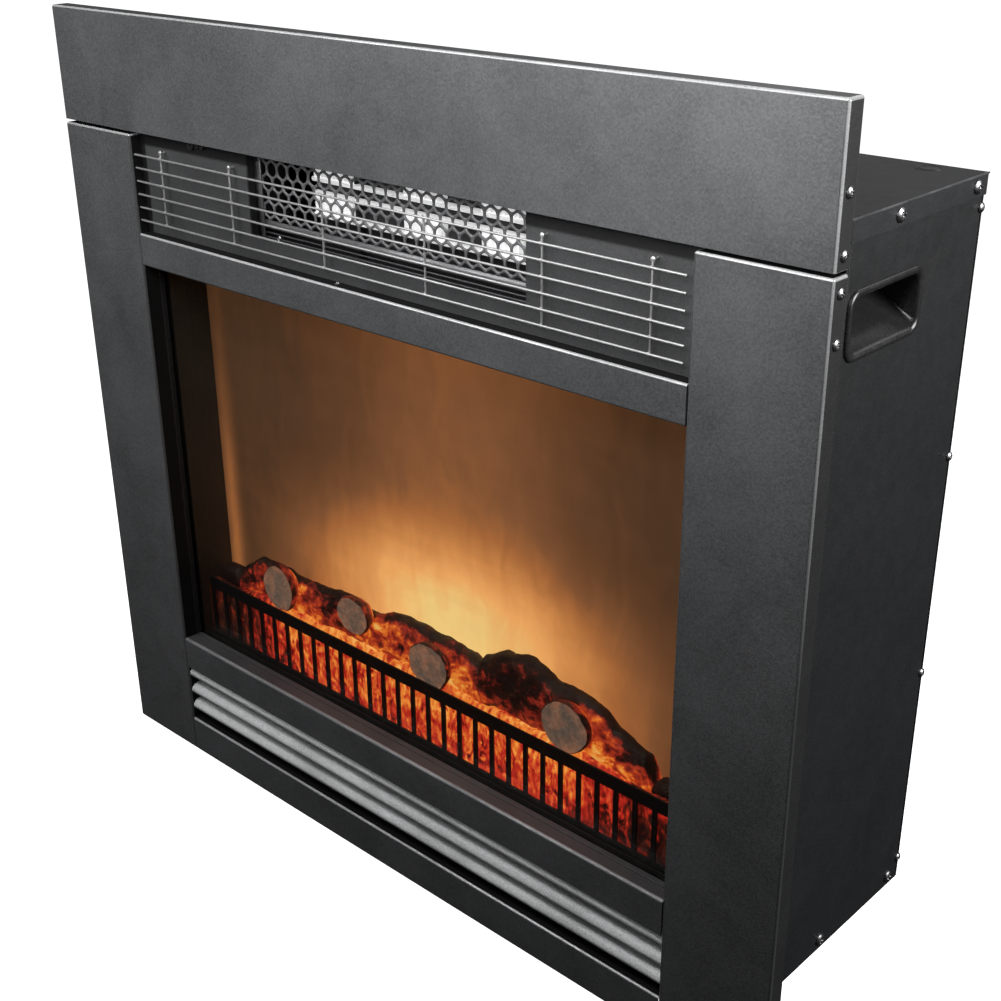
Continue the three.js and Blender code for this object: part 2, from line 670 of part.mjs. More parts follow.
// ---------------------------------------------------------------- window and firebox
const GLASS_HALF = 260;
const GLASS_LOW = 94;
const GLASS_HIGH = 440;
add(
  "glass_pane",
  block([-GLASS_HALF, GLASS_HALF], [GLASS_FRONT, GLASS_REAR], [GLASS_LOW, GLASS_HIGH]),
  tintedGlass,
);

const GASKET_LAP = 2; // how far the gasket reaches beyond the pane
function glassGasket() {
  const y = [FRAME_REAR + GAP, GLASS_FRONT - GAP];
  const half = GLASS_HALF + GASKET_LAP;
  const ring = block([-half, half], y, [GLASS_LOW - GASKET_LAP, GLASS_HIGH + GASKET_LAP]);
  const inside = block([-WINDOW_HALF - GAP, WINDOW_HALF + GAP], [0, 2 * GLASS_FRONT],
    [SILL_UNDER + 1, WINDOW_HIGH + 1]);
  return cut(ring, inside);
}
add("glass_gasket", glassGasket(), gasketRubber);

const CLIP = { z: [112, 422], grip: 3.5, foot: 10 };
function rightGlassClip() {
  const half = TRIM_SHEET / 2;
  const behind = GLASS_REAR + GAP + half;
  const beside = GLASS_HALF + GASKET_LAP + GAP + half;
  const onFrame = FRAME_REAR + GAP + half;
  const path = [
    [WINDOW_HALF + CLIP.grip, behind],
    [beside, behind],
    [beside, onFrame],
    [beside + CLIP.foot, onFrame],
  ];
  return extrude("z", bentSheet(path, TRIM_SHEET), ...CLIP.z);
}
addPair("right_glass_clip", "left_glass_clip", rightGlassClip(), blackSteel);

const WALL_X = WINDOW_HALF + 1.9; // middle of a firebox side wall
const HEARTH_Z = 102; // middle of the hearth's sheet
const HEARTH_TOP = HEARTH_Z + TRIM_SHEET / 2;
const FIREBOX_FOLD = 10; // folded edges of the firebox plates
function rightFireboxWall() {
  const half = TRIM_SHEET / 2;
  const path = [
    [WALL_X, FIREBOX_FRONT],
    [WALL_X, FIREBOX_REAR - half],
    [WALL_X + FIREBOX_FOLD, FIREBOX_REAR - half],
  ];
  return extrude("z", bentSheet(path, TRIM_SHEET), HEARTH_Z + 1, WINDOW_HIGH + 1);
}
addPair("right_firebox_wall", "left_firebox_wall", rightFireboxWall(), blackSteel);

const fireboxPlate = (path) => {
  const reach = WALL_X - TRIM_SHEET / 2 - GAP;
  return extrude("x", bentSheet(path, TRIM_SHEET), -reach, reach);
};
function fireboxCeiling() {
  const z = WINDOW_HIGH + 2;
  const rear = FIREBOX_REAR - TRIM_SHEET / 2;
  return fireboxPlate([[FIREBOX_FRONT, z], [rear, z], [rear, z + FIREBOX_FOLD]]);
}
add("firebox_ceiling", fireboxCeiling(), blackSteel);

// The hearth's front edge is turned up behind the glass.
function hearthFloor() {
  const lipHigh = 108.8;
  const front = FIREBOX_FRONT + TRIM_SHEET / 2;
  const rear = FIREBOX_REAR - TRIM_SHEET / 2;
  return fireboxPlate([[front, lipHigh], [front, HEARTH_Z], [rear, HEARTH_Z],
    [rear, HEARTH_Z - FIREBOX_FOLD]]);
}
add("hearth_floor", hearthFloor(), blackSteel);

const SCREEN_LAP = 9; // how far the screen reaches behind the folded edges
add(
  "flame_screen",
  block([-WALL_X - SCREEN_LAP, WALL_X + SCREEN_LAP], [SCREEN_FRONT, SCREEN_FRONT + SCREEN_THICK],
    [HEARTH_Z - SCREEN_LAP, WINDOW_HIGH + 2 + SCREEN_LAP]),
  screenPlastic,
);

const BED = { half: 248, front: 28.5, rear: 55, frontHigh: 134, high: 150 };
function emberBed() {
  const low = HEARTH_TOP + GAP;
  const crestY = 44;
  const section = outline([[BED.front, low], [BED.rear, low], [BED.rear, BED.high - 1],
    [crestY, BED.high], [BED.front, BED.frontHigh]]);
  return extrude("x", section, -BED.half, BED.half);
}
add("ember_bed", emberBed(), emberResin);

// Logs lie side by side on the embers, and four sawn stubs face the glass.
const LOG_Y = 43;
const STUB_FRONT = 28.5;
const LOGS = [
  { from: [-215, 164], to: [62, 176], radius: 17, endRadius: 19 },
  { from: [40, 184], to: [203, 170], radius: 25, endRadius: 14 },
];
const STUBS = [
  { x: -153, z: 180, radius: 19 },
  { x: -68.5, z: 187, radius: 15 },
  { x: 16, z: 175, radius: 19 },
  { x: 143, z: 180, radius: 20 },
];
function logSet() {
  const flatten = 0.5;
  const log = ({ from: [x0, z0], to: [x1, z1], radius, endRadius }) => {
    const length = Math.hypot(x1 - x0, z1 - z0);
    const body = new THREE.CylinderGeometry(endRadius, radius, length, 10);
    body.translate(0, length / 2, 0).rotateZ(-Math.PI / 2).scale(1, flatten, 1);
    body.rotateY(-Math.atan2(z1 - z0, x1 - x0));
    return solid(body.translate(x0, LOG_Y, z0));
  };
  const stub = ({ x, z, radius }) =>
    bar("y", [x, STUB_FRONT, z], LOG_Y - STUB_FRONT, radius, 10);
  const logs = join(...LOGS.map(log), ...STUBS.map(stub));
  const bed = block([-INSERT_HALF, INSERT_HALF], [0, BED.rear + 1], [0, BED.high + GAP]);
  return cut(logs, bed);
}
add("log_set", logSet(), logResin);

function fuelGrate() {
  const { bars, pitch, barWidth, front, sheet, high } = GRATE;
  const slotWidth = pitch - barWidth;
  const half = (bars * pitch - slotWidth) / 2;
  const plate = block([-half, half], [front, front + sheet], [HEARTH_TOP + GAP, high]);
  const slots = range(bars - 1).map((i) => {
    const left = -half + barWidth + i * pitch;
    return block([left, left + slotWidth], [front - sheet, front + 2 * sheet], GRATE.slots);
  });
  return cut(plate, ...slots);
}
add("fuel_grate", fuelGrate(), blackSteel);

// ---------------------------------------------------------------- flame effect
const ROD = { left: -226, right: 206, radius: 2 };
const VANE = { count: 14, pitch: 26, left: -196, gap: 6, thick: 0.8, width: 30, turn: 0.4 * Math.PI };
function flickerRod() {
  const { y, z } = ROD_AXIS;
  const vanes = range(VANE.count).map((i) => {
    const vane = new THREE.BoxGeometry(VANE.pitch - VANE.gap, VANE.thick, VANE.width);
    vane.rotateX(i * VANE.turn);
    return solid(vane.translate(VANE.left + (i + 0.5) * VANE.pitch, y, z));
  });
  return join(bar("x", [ROD.left, y, z], ROD.right - ROD.left, ROD.radius, 8), ...vanes);
}
add("flicker_rod", flickerRod(), bareAluminium);

const rodHole = (from, length) =>
  bar("x", [from, ROD_AXIS.y, ROD_AXIS.z], length, ROD.radius + GAP, 10);
const FOOT_THICK = 2;
function flickerBearing() {
  const { y, z } = ROD_AXIS;
  const post = { half: 4, depth: 7, above: 8 };
  const footReach = 16;
  const low = CASE_FLOOR + GAP;
  const depth = [y - post.depth, y + post.depth];
  const upright = block([ROD.left - post.half, ROD.left + post.half], depth, [low, z + post.above]);
  const foot = block([ROD.left - footReach, ROD.left + post.half], depth, [low, low + FOOT_THICK]);
  return cut(join(upright, foot), rodHole(ROD.left - 1, 2 * post.half));
}
add("flicker_bearing", flickerBearing(), whitePlastic);

function flickerMotor() {
  const { y, z } = ROD_AXIS;
  const lap = 4;
  const can = { length: 20, radius: 24 };
  const stand = { from: 6, thick: 4, foot: 20, half: 16 };
  const left = ROD.right - lap;
  const low = CASE_FLOOR + GAP;
  const depth = [y - stand.half, y + stand.half];
  const near = left + stand.from;
  const body = join(
    bar("x", [left, y, z], can.length, can.radius, 16),
    block([near, near + stand.foot], depth, [low, low + FOOT_THICK]),
    block([near, near + stand.thick], depth, [low, z]),
  );
  return cut(body, rodHole(left - 1, lap + 2));
}
add("flicker_motor", flickerMotor(), motorSteel);

const LAMP_X = 88;
const LAMP_Y = 118;
const BRACKET = { high: 104, half: 12, foot: 4, reach: 150 };
function lampBracket() {
  const half = CASE_SHEET / 2;
  const low = CASE_FLOOR + GAP + half;
  const high = BRACKET.high - half;
  const [front, rear] = [LAMP_Y - BRACKET.half, LAMP_Y + BRACKET.half];
  const path = [
    [front - BRACKET.foot, low],
    [front, low],
    [front, high],
    [rear, high],
    [rear, low],
    [rear + BRACKET.foot, low],
  ];
  return extrude("x", bentSheet(path, CASE_SHEET), -BRACKET.reach, BRACKET.reach);
}
add("lamp_bracket", lampBracket(), brightSteel);

// Candle lamp in its holder, as radius and height pairs.
const LAMP_PROFILE = [
  [0, 0], [9, 0], [9, 16], [6.5, 18], [7.5, 22], [10.5, 30], [10.5, 36], [7, 46], [2.5, 54],
  [0, 56],
];
function lamp() {
  const points = LAMP_PROFILE.map(([radius, height]) => new THREE.Vector2(radius, height));
  const candle = new THREE.LatheGeometry(points, 12).rotateX(Math.PI / 2);
  return solid(candle.translate(LAMP_X, LAMP_Y, BRACKET.high + GAP));
}
addPair("right_lamp", "left_lamp", lamp(), lampGlass);

// Shield between the lamp chamber and the heater, with its sides folded down.
function heatShield() {
  const front = 30;
  const half = CASE_SHEET / 2;
  const reach = SIDE_INNER - GAP - half;
  const high = HEADER_HIGH;
  const low = high - FLANGE;
  const path = [[-reach, low], [-reach, high], [reach, high], [reach, low]];
  return extrude("y", bentSheet(path, CASE_SHEET), front, SIDE_REAR - CASE_SHEET - GAP);
}
add("heat_shield", heatShield(), brightSteel);

const root = new THREE.Group();
root.add(assembly);
export default root;
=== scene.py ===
# Electric fireplace insert: the finished look of its pieces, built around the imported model.
# Places and lengths are in millimetres from the middle of the surround's lower front edge, with X
# to the right, Y to the rear and Z up. at() turns them into metres in the model's frame.
import math
import random

import bmesh
import bpy
from mathutils import Matrix, Vector, noise


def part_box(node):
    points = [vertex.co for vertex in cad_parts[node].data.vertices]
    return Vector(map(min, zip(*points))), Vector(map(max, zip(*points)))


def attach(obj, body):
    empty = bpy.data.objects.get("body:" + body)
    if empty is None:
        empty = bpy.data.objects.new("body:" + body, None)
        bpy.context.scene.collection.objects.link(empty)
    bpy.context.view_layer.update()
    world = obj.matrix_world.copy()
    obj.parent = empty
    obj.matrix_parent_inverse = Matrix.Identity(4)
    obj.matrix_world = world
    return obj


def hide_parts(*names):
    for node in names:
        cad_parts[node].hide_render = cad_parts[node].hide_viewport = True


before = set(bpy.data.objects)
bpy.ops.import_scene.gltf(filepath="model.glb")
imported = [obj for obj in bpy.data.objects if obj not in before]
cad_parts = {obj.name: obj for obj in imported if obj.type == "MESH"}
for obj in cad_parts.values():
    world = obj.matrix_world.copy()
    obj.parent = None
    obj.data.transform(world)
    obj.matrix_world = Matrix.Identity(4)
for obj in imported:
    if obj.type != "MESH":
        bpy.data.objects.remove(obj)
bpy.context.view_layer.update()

MM = 0.001
ORIGIN = Vector((0.0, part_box("top_panel")[0].y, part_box("bottom_panel")[0].z))
RIGHT, REAR, UP = Vector((1, 0, 0)), Vector((0, 1, 0)), Vector((0, 0, 1))


def at(place):
    return ORIGIN + Vector(place) * MM


def span(node):
    """A CAD node's extent along X, Y and Z."""
    low, high = ((corner - ORIGIN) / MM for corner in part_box(node))
    return [(low[i], high[i]) for i in range(3)]


def srgb(red, green, blue):
    """A display colour, from 0 to 255, as the linear colour that nodes take."""
    shares = (value / 255 for value in (red, green, blue))
    linear = [s / 12.92 if s < 0.04045 else ((s + 0.055) / 1.055) ** 2.4 for s in shares]
    return (*linear, 1.0)


def blend(a, b, share):
    return a + (b - a) * share


def smooth_step(value, low, high):
    share = min(max((value - low) / (high - low), 0.0), 1.0)
    return share * share * (3 - 2 * share)


# ---------------------------------------------------------------- camera, floor and lights
def make_camera():
    azimuth, elevation, roll = (math.radians(angle) for angle in (43.726, 24.832, -0.857))
    target = at((96.5, 0, 332.2))
    distance = 0.9364
    back = Vector((
        math.sin(azimuth) * math.cos(elevation),
        -math.cos(azimuth) * math.cos(elevation),
        math.sin(elevation),
    ))
    level = (-back).cross(UP).normalized()
    above = level.cross(-back)
    right = level * math.cos(roll) + above * math.sin(roll)
    up = above * math.cos(roll) - level * math.sin(roll)
    data = bpy.data.cameras.new("camera")
    data.sensor_width = 36
    data.lens = 53.316
    data.shift_x = 0.0199
    data.shift_y = 0.01305
    data.clip_start = 0.01
    camera = bpy.data.objects.new("camera", data)
    axes = Matrix((right, up, back)).transposed()
    camera.matrix_world = Matrix.Translation(target + back * distance) @ axes.to_4x4()
    bpy.context.collection.objects.link(camera)
    bpy.context.scene.camera = camera


def area_light(name, place, aim, size, power, colour=(1, 1, 1), mirrored=True):
    data = bpy.data.lights.new(name, "AREA")
    data.shape = "RECTANGLE"
    data.size, data.size_y = size
    data.energy = power
    data.color = colour
    light = bpy.data.objects.new(name, data)
    light.location = at(place)
    light.rotation_mode = "QUATERNION"
    light.rotation_quaternion = (at(aim) - at(place)).to_track_quat("-Z", "Y")
    light.visible_camera = False
    light.visible_glossy = mirrored
    bpy.context.collection.objects.link(light)


def make_stage():
    side = 8.0
    level = ORIGIN.z - 0.5 * MM
    corners = [(-side, -side), (side, -side), (side, side), (-side, side)]
    mesh = bpy.data.meshes.new("floor")
    mesh.from_pydata([(x, y, level) for x, y in corners], [], [(0, 1, 2, 3)])
    floor = bpy.data.objects.new("floor", mesh)
    bpy.context.collection.objects.link(floor)
    paper = Surface("floor_paper")
    tone = paper.ramp(paper.noise(60), [(0.3, (0.86, 0.86, 0.86, 1)), (0.7, (0.9, 0.9, 0.9, 1))])
    paper.finish(paper.principled(tone, 0.9, emission=tone, strength=1.25))
    mesh.materials.append(paper.material)
    # The floor doesn't throw light back at the object, as on a raised stand.
    floor.visible_diffuse = False
    floor.visible_glossy = False

    world = bpy.data.worlds.new("studio")
    world.use_nodes = True
    tree = world.node_tree
    backdrop = tree.nodes["Background"]
    backdrop.inputs["Color"].default_value = (1, 1, 1, 1)
    ambient = tree.nodes.new("ShaderNodeBackground")
    ambient.inputs["Color"].default_value = (0.9, 0.94, 1.0, 1)
    ambient.inputs["Strength"].default_value = 0.01
    seen = tree.nodes.new("ShaderNodeLightPath")
    choose = tree.nodes.new("ShaderNodeMixShader")
    tree.links.new(seen.outputs["Is Camera Ray"], choose.inputs[0])
    tree.links.new(ambient.outputs[0], choose.inputs[1])
    tree.links.new(backdrop.outputs[0], choose.inputs[2])
    tree.links.new(choose.outputs[0], tree.nodes["World Output"].inputs["Surface"])
    bpy.context.scene.world = world

    area_light("key_light", (260, -270, 780), (240, 300, 740), (0.35, 0.35), 3.7)
    area_light("left_light", (-250, -320, 800), (-250, 100, 450), (0.35, 0.35), 2.7)
    area_light("side_light", (1500, 500, 900), (332, 80, 400), (0.8, 0.8), 26)
    area_light("back_light", (0, 1300, 1500), (0, 100, 500), (2.0, 0.8), 4.5)
    area_light("fill_light", (-480, -520, 330), (-250, 0, 80), (0.5, 0.5), 1.3, mirrored=False)
    bpy.context.scene.view_settings.view_transform = "Standard"


# ---------------------------------------------------------------- materials
class Surface:
    """A procedural material, built up by short calls. Sizes are in millimetres."""

    def __init__(self, name):
        self.material = bpy.data.materials.new(name)
        self.material.use_nodes = True
        self.tree = self.material.node_tree
        self.tree.nodes.clear()
        coordinates = self.node("TexCoord").outputs["Object"]
        scale = self.node("VectorMath", {0: coordinates}, operation="SCALE")
        scale.inputs["Scale"].default_value = 1 / MM
        self.place = scale.outputs[0]

    def node(self, kind, inputs=(), **settings):
        """A new node with its settings. inputs holds values or links, by socket name or number."""
        node = self.tree.nodes.new("ShaderNode" + kind)
        for key, value in settings.items():
            setattr(node, key, value)
        for key, value in dict(inputs).items():
            if isinstance(value, bpy.types.NodeSocket):
                self.tree.links.new(value, node.inputs[key])
            elif value is not None:
                node.inputs[key].default_value = value
        return node

    def axis(self, name):
        """One coordinate of the surface's point, in the frame."""
        return self.node("SeparateXYZ", {0: self.place}).outputs[name]

    def facing(self, name):
        """One coordinate of the surface's outward direction."""
        normal = self.node("NewGeometry").outputs["Normal"]
        return self.node("SeparateXYZ", {0: normal}).outputs[name]

    def noise(self, size, detail=2.0, stretch=(1, 1, 1), distortion=0.0, roughness=0.55):
        spread = [1 / (size * s) for s in stretch]
        place = self.node("VectorMath", {0: self.place, 1: spread}, operation="MULTIPLY")
        return self.node("TexNoise", {
            "Vector": place.outputs[0], "Scale": 1.0, "Detail": detail, "Roughness": roughness,
            "Distortion": distortion,
        }).outputs["Fac"]

    def attribute(self, name):
        return self.node("Attribute", attribute_name=name).outputs["Fac"]

    def math(self, operation, *values):
        return self.node("Math", enumerate(values), operation=operation).outputs[0]

    def add(self, a, b):
        return self.math("ADD", a, b)

    def times(self, a, b):
        return self.math("MULTIPLY", a, b)

    def minus(self, a, b):
        return self.math("SUBTRACT", a, b)

    def fade(self, value, source, target):
        """Maps a range of values to another, and keeps to its ends."""
        return self.node("MapRange", {
            "Value": value, "From Min": source[0], "From Max": source[1], "To Min": target[0],
            "To Max": target[1],
        }).outputs["Result"]

    def ramp(self, value, stops):
        node = self.node("ValToRGB", {"Fac": value})
        elements = node.color_ramp.elements
        while len(elements) < len(stops):
            elements.new(1.0)
        for element, (position, colour) in zip(elements, stops):
            element.position = position
            element.color = colour
        return node.outputs["Color"]

    def mix(self, share, a, b, way="MIX"):
        mixed = self.node("Mix", {0: share, 6: a, 7: b}, data_type="RGBA", blend_type=way)
        return mixed.outputs[2]

    def bump(self, height, depth, normal=None):
        return self.node("Bump", {
            "Distance": depth * MM, "Height": height, "Normal": normal,
        }).outputs["Normal"]

    def principled(self, colour, roughness, metallic=0.0, normal=None, emission=None, strength=0.0,
                   specular=0.5, coat=0.0):
        node = self.node("BsdfPrincipled", {
            "Base Color": colour, "Roughness": roughness, "Metallic": metallic, "Normal": normal,
            "Emission Color": emission,
            "Emission Strength": None if emission is None else strength,
        })
        node.inputs["Specular IOR Level"].default_value = specular
        node.inputs["Coat Weight"].default_value = coat
        return node.outputs[0]

    def finish(self, shader):
        self.node("OutputMaterial", {"Surface": shader})
        return self.material


def shade(colour, factor):
    return (*(min(c * factor, 1.0) for c in colour[:3]), 1.0)


def painted(name, colour, roughness, grain=0.7, relief=0.05, metallic=0.0, specular=0.5,
            patchy=0.16, soot_and_painted_shadow=(), underside=1.0, glow=0.0):
    """Paint or powder coat on sheet metal: soft patches, a fine grain and slight orange peel. Its
    shadow ranges hold places over which a painted shadow darkens it, underside is how light it stays
    where it faces down, as painted shade, and glow is how much painted light it gives off."""
    s = Surface(name)
    fine = s.noise(grain, 2)
    patch = s.noise(55, 3, distortion=0.4)
    tone = s.add(s.times(fine, 0.6), s.times(patch, 0.4))
    tint = s.ramp(tone, [(0.34, shade(colour, 1 - patchy)), (0.66, shade(colour, 1 + patchy))])
    # Painted shadow: darkens towards black across each given range of places.
    for axis, unshaded, dark in soot_and_painted_shadow:
        shift = ORIGIN.z / MM if axis == "Z" else 0.0
        tint = s.mix(s.fade(s.axis(axis), (unshaded + shift, dark + shift), (0.0, 0.9)), tint,
                     (0, 0, 0, 1))
    # Painted shade where the surface faces down.
    if underside < 1.0:
        tint = s.mix(s.fade(s.facing("Z"), (-0.45, 0.25), (1 - underside, 0.0)), tint,
                     (0, 0, 0, 1))
    gloss = s.fade(s.noise(9, 3), (0.3, 0.7), (roughness - 0.02, roughness + 0.03))
    peel = s.bump(s.noise(2.6, 1), relief * 0.8)
    normal = s.bump(fine, relief, peel)
    return s.finish(s.principled(tint, gloss, metallic, normal, emission=tint, strength=glow,
                                 specular=specular))


def edge_wear_and_highlight(name, paint, bare_and_highlight_colour, roughness, wear=0.5):
    """A folded edge. Where it faces up, or faces right at the outer side high up, it turns brighter:
    partly rubbed wear, partly a painted highlight.
    """
    s = Surface(name)
    # Where the painted highlight falls: folds facing up, and right-facing folds at the outer side,
    # fading out towards the bottom.
    up = s.fade(s.facing("Z"), (0.12, 0.6), (0.0, 1.0))
    outer = s.times(s.fade(s.axis("X"), (300, 326), (0.0, 1.0)),
                   s.fade(s.facing("X"), (0.3, 0.7), (0.0, 1.0)))
    height = s.fade(s.axis("Z"), (300 + ORIGIN.z / MM, 600 + ORIGIN.z / MM), (0.0, 0.8))
    highlight_mask = s.math("MAXIMUM", up, s.times(outer, height))
    rub = s.noise(22, 4, stretch=(3, 1, 3), roughness=0.6)
    fleck = s.noise(0.9, 2)
    amount = s.add(s.times(rub, 0.7), s.times(fleck, 0.3))
    worn = s.fade(amount, (0.34, 0.66), (wear - 0.28, wear + 0.28))
    rub_and_highlight = s.times(worn, highlight_mask)
    tint = s.mix(rub_and_highlight, paint, bare_and_highlight_colour)
    gloss = s.fade(fleck, (0.3, 0.7), (roughness - 0.05, roughness + 0.07))
    metal = s.times(rub_and_highlight, 0.6)
    return s.finish(s.principled(tint, gloss, metal, s.bump(fleck, 0.02)))


def plated(name, colour, roughness, grain=(1, 1, 1), spots=0.3):
    """Bare or plated metal with fine rubbed lines and dull spots."""
    s = Surface(name)
    lines = s.noise(0.8, 3, stretch=grain)
    dull = s.fade(s.noise(5, 3), (0.45, 0.7), (0.0, spots))
    tint = s.mix(dull, shade(colour, 1.05), shade(colour, 0.45))
    gloss = s.fade(lines, (0.3, 0.7), (roughness * 0.8, roughness * 1.35))
    return s.finish(s.principled(tint, gloss, 1.0, s.bump(lines, 0.02)))


def moulded(name, colour, roughness, relief=0.02, specular=0.5, coat=0.0):
    """Moulded plastic, rubber or glass-like parts: faint flow marks and handling wear."""
    s = Surface(name)
    flow = s.noise(18, 3, distortion=0.8)
    fine = s.noise(0.5, 1)
    tint = s.ramp(flow, [(0.3, shade(colour, 0.85)), (0.7, shade(colour, 1.15))])
    gloss = s.fade(s.noise(4, 3), (0.35, 0.7), (roughness * 0.85, roughness * 1.25))
    return s.finish(s.principled(tint, gloss, 0.0, s.bump(fine, relief), specular=specular,
                                 coat=coat))


def tinted_glass():
    """Smoke-tinted pane, which mirrors more at a grazing angle and carries faint wipe marks."""
    s = Surface("tinted_glass")
    wipe = s.noise(30, 3, stretch=(4, 1, 1), distortion=1.2)
    through = s.node("BsdfTransparent", {"Color": s.ramp(wipe, [
        (0.3, (0.80, 0.78, 0.75, 1)),
        (0.7, (0.84, 0.82, 0.79, 1)),
    ])})
    mirror = s.node("BsdfGlossy", {
        "Color": (0.9, 0.92, 0.9, 1), "Roughness": s.fade(wipe, (0.3, 0.7), (0.015, 0.05)),
    })
    facing = s.node("LayerWeight", {"Blend": 0.5}).outputs["Facing"]
    share = s.fade(s.math("POWER", facing, 4.0), (0.0, 1.0), (0.03, 0.75))
    mixed = s.node("MixShader", {0: share, 1: through.outputs[0], 2: mirror.outputs[0]})
    return s.finish(mixed.outputs[0])


def glowing_screen():
    """Amber flame screen: a hot core above the logs, paler flame wisps, and dim shoulders."""
    s = Surface("flame_plastic")
    core_x, core_z = 17, 198 + ORIGIN.z / MM
    across = s.minus(s.axis("X"), core_x)
    sway = s.times(s.minus(s.noise(70, 2, stretch=(1, 1, 1.8)), 0.5), 46)
    swayed = s.add(across, sway)
    rise = s.math("MAXIMUM", s.minus(s.axis("Z"), core_z), 0.0)

    def falloff(value, reach):
        scaled = s.math("DIVIDE", value, reach)
        return s.times(scaled, scaled)

    def bell(*squares):
        total = squares[0] if len(squares) == 1 else s.math("ADD", *squares)
        return s.math("EXPONENT", s.times(total, -1.0))

    core = s.times(bell(falloff(swayed, 122), falloff(rise, 56)), 0.56)
    column = s.times(bell(falloff(swayed, 104)), 0.078)
    edge_x = s.add(s.axis("X"), 243)
    edge = s.times(bell(falloff(edge_x, 9), falloff(rise, 120)), 0.11)
    wisps = s.fade(s.noise(24, 4, stretch=(1, 1, 2.6), distortion=1.4), (0.35, 0.7), (0.93, 1.10))
    field = s.add(s.add(core, column), s.add(edge, 0.040))
    heat = s.times(field, wisps)
    glow = s.ramp(s.math("POWER", heat, 0.5), [
        (0.0, (0.006, 0.004, 0.003, 1)),
        (0.20, (0.058, 0.027, 0.012, 1)),
        (0.26, (0.125, 0.050, 0.019, 1)),
        (0.34, (0.225, 0.088, 0.033, 1)),
        (0.42, (0.410, 0.150, 0.044, 1)),
        (0.55, (0.700, 0.290, 0.085, 1)),
        (0.68, (0.960, 0.460, 0.150, 1)),
        (0.82, (1.000, 0.720, 0.270, 1)),
    ])
    ribs = s.bump(s.noise(3, 2), 0.06)
    return s.finish(s.principled((0.05, 0.035, 0.025, 1), 0.55, 0.0, ribs, emission=glow,
                                 strength=SCREEN_GLOW))


SCREEN_GLOW = 1.34
EMBER_STOPS = [
    (0.00, (0.006, 0.002, 0.002, 1)),
    (0.18, (0.030, 0.003, 0.002, 1)),
    (0.31, (0.200, 0.010, 0.006, 1)),
    (0.45, (0.500, 0.020, 0.012, 1)),
    (0.54, (0.640, 0.062, 0.020, 1)),
    (0.62, (0.740, 0.150, 0.024, 1)),
    (0.71, (0.900, 0.255, 0.038, 1)),
    (0.81, (0.990, 0.390, 0.075, 1)),
    (0.93, (1.000, 0.560, 0.160, 1)),
]
BARK_STOPS = [
    (0.00, (0.002, 0.001, 0.001, 1)),
    (0.20, (0.022, 0.003, 0.002, 1)),
    (0.30, (0.130, 0.010, 0.006, 1)),
    (0.42, (0.290, 0.021, 0.011, 1)),
    (0.57, (0.520, 0.052, 0.013, 1)),
    (0.70, (0.860, 0.180, 0.022, 1)),
    (0.82, (0.980, 0.340, 0.050, 1)),
    (0.95, (1.000, 0.560, 0.150, 1)),
]


def glowing_embers():
    """Translucent embers: yellow at their crest, red lower down, and dim at both ends."""
    s = Surface("ember_resin")
    low = ORIGIN.z / MM
    height = s.fade(s.axis("Z"), (108 + low, 156 + low), (0.44, 0.63))
    crest = s.fade(s.axis("Z"), (156 + low, 164 + low), (0.0, 0.03))
    left = s.fade(s.axis("X"), (-222, -138), (0.56, 0.0))
    right = s.fade(s.axis("X"), (145, 205), (0.0, 0.36))
    blotch = s.noise(12, 3, stretch=(0.9, 1, 1.4), distortion=1.6)
    streak = s.noise(3.6, 3, stretch=(0.8, 1, 1.8), roughness=0.6)
    clinker = s.fade(s.noise(7, 3, stretch=(1, 1, 1.6), distortion=0.6), (0.60, 0.70), (0.0, 0.30))
    varied = s.add(s.times(blotch, 1.25), s.times(streak, 0.55))
    heat = s.add(s.add(height, crest), s.minus(varied, 0.88))
    heat = s.minus(s.minus(heat, s.add(left, right)), clinker)
    glow = s.ramp(heat, EMBER_STOPS)
    body = s.ramp(blotch, [(0.35, (0.05, 0.012, 0.006, 1)), (0.65, (0.22, 0.05, 0.015, 1))])
    return s.finish(s.principled(body, 0.75, 0.0, s.bump(blotch, 0.8), emission=glow,
                                 strength=1.35))


def glowing_bark():
    """Moulded resin bark, lit from inside wherever the point attribute "glow" is high."""
    s = Surface("log_bark")
    fibre = s.noise(3.4, 4, stretch=(2.2, 1, 1.2), distortion=0.9, roughness=0.66)
    patch = s.fade(s.noise(13, 3, stretch=(1.2, 1, 1), distortion=1.4), (0.38, 0.62), (0.0, 0.34))
    varied = s.add(s.times(fibre, 0.85), patch)
    heat = s.add(s.attribute("glow"), s.minus(varied, 0.62))
    glow = s.ramp(heat, BARK_STOPS)
    char = s.noise(5, 4, stretch=(2, 1, 1))
    body = s.ramp(char, [(0.3, (0.006, 0.003, 0.002, 1)), (0.7, (0.032, 0.011, 0.006, 1))])
    gloss = s.fade(char, (0.3, 0.7), (0.5, 0.8))
    normal = s.bump(s.add(char, fibre), 0.6)
    return s.finish(s.principled(body, gloss, 0.0, normal, emission=glow, strength=1.2))


def sawn_wood():
    """Ash-grey sawn end of a log, with saw marks and sooty smudges, where a little light comes
    through.
    """
    s = Surface("sawn_end")
    soot_and_painted_shadow = s.noise(3.0, 4, roughness=0.6)
    cloud = s.noise(14, 2, distortion=0.5)
    tone = s.add(s.times(soot_and_painted_shadow, 0.6), s.times(cloud, 0.4))
    tint = s.ramp(tone, [
        (0.30, srgb(72, 62, 57)),
        (0.50, srgb(112, 99, 91)),
        (0.70, srgb(148, 138, 130)),
    ])
    warm = s.ramp(cloud, [
        (0.38, (0.150, 0.115, 0.095, 1)),
        (0.58, (0.330, 0.165, 0.105, 1)),
        (0.74, (0.560, 0.200, 0.090, 1)),
    ])
    lit = s.mix(0.45, warm, tint, "MULTIPLY")
    return s.finish(s.principled(tint, 0.85, 0.0, s.bump(tone, 0.5), emission=lit, strength=1.1))


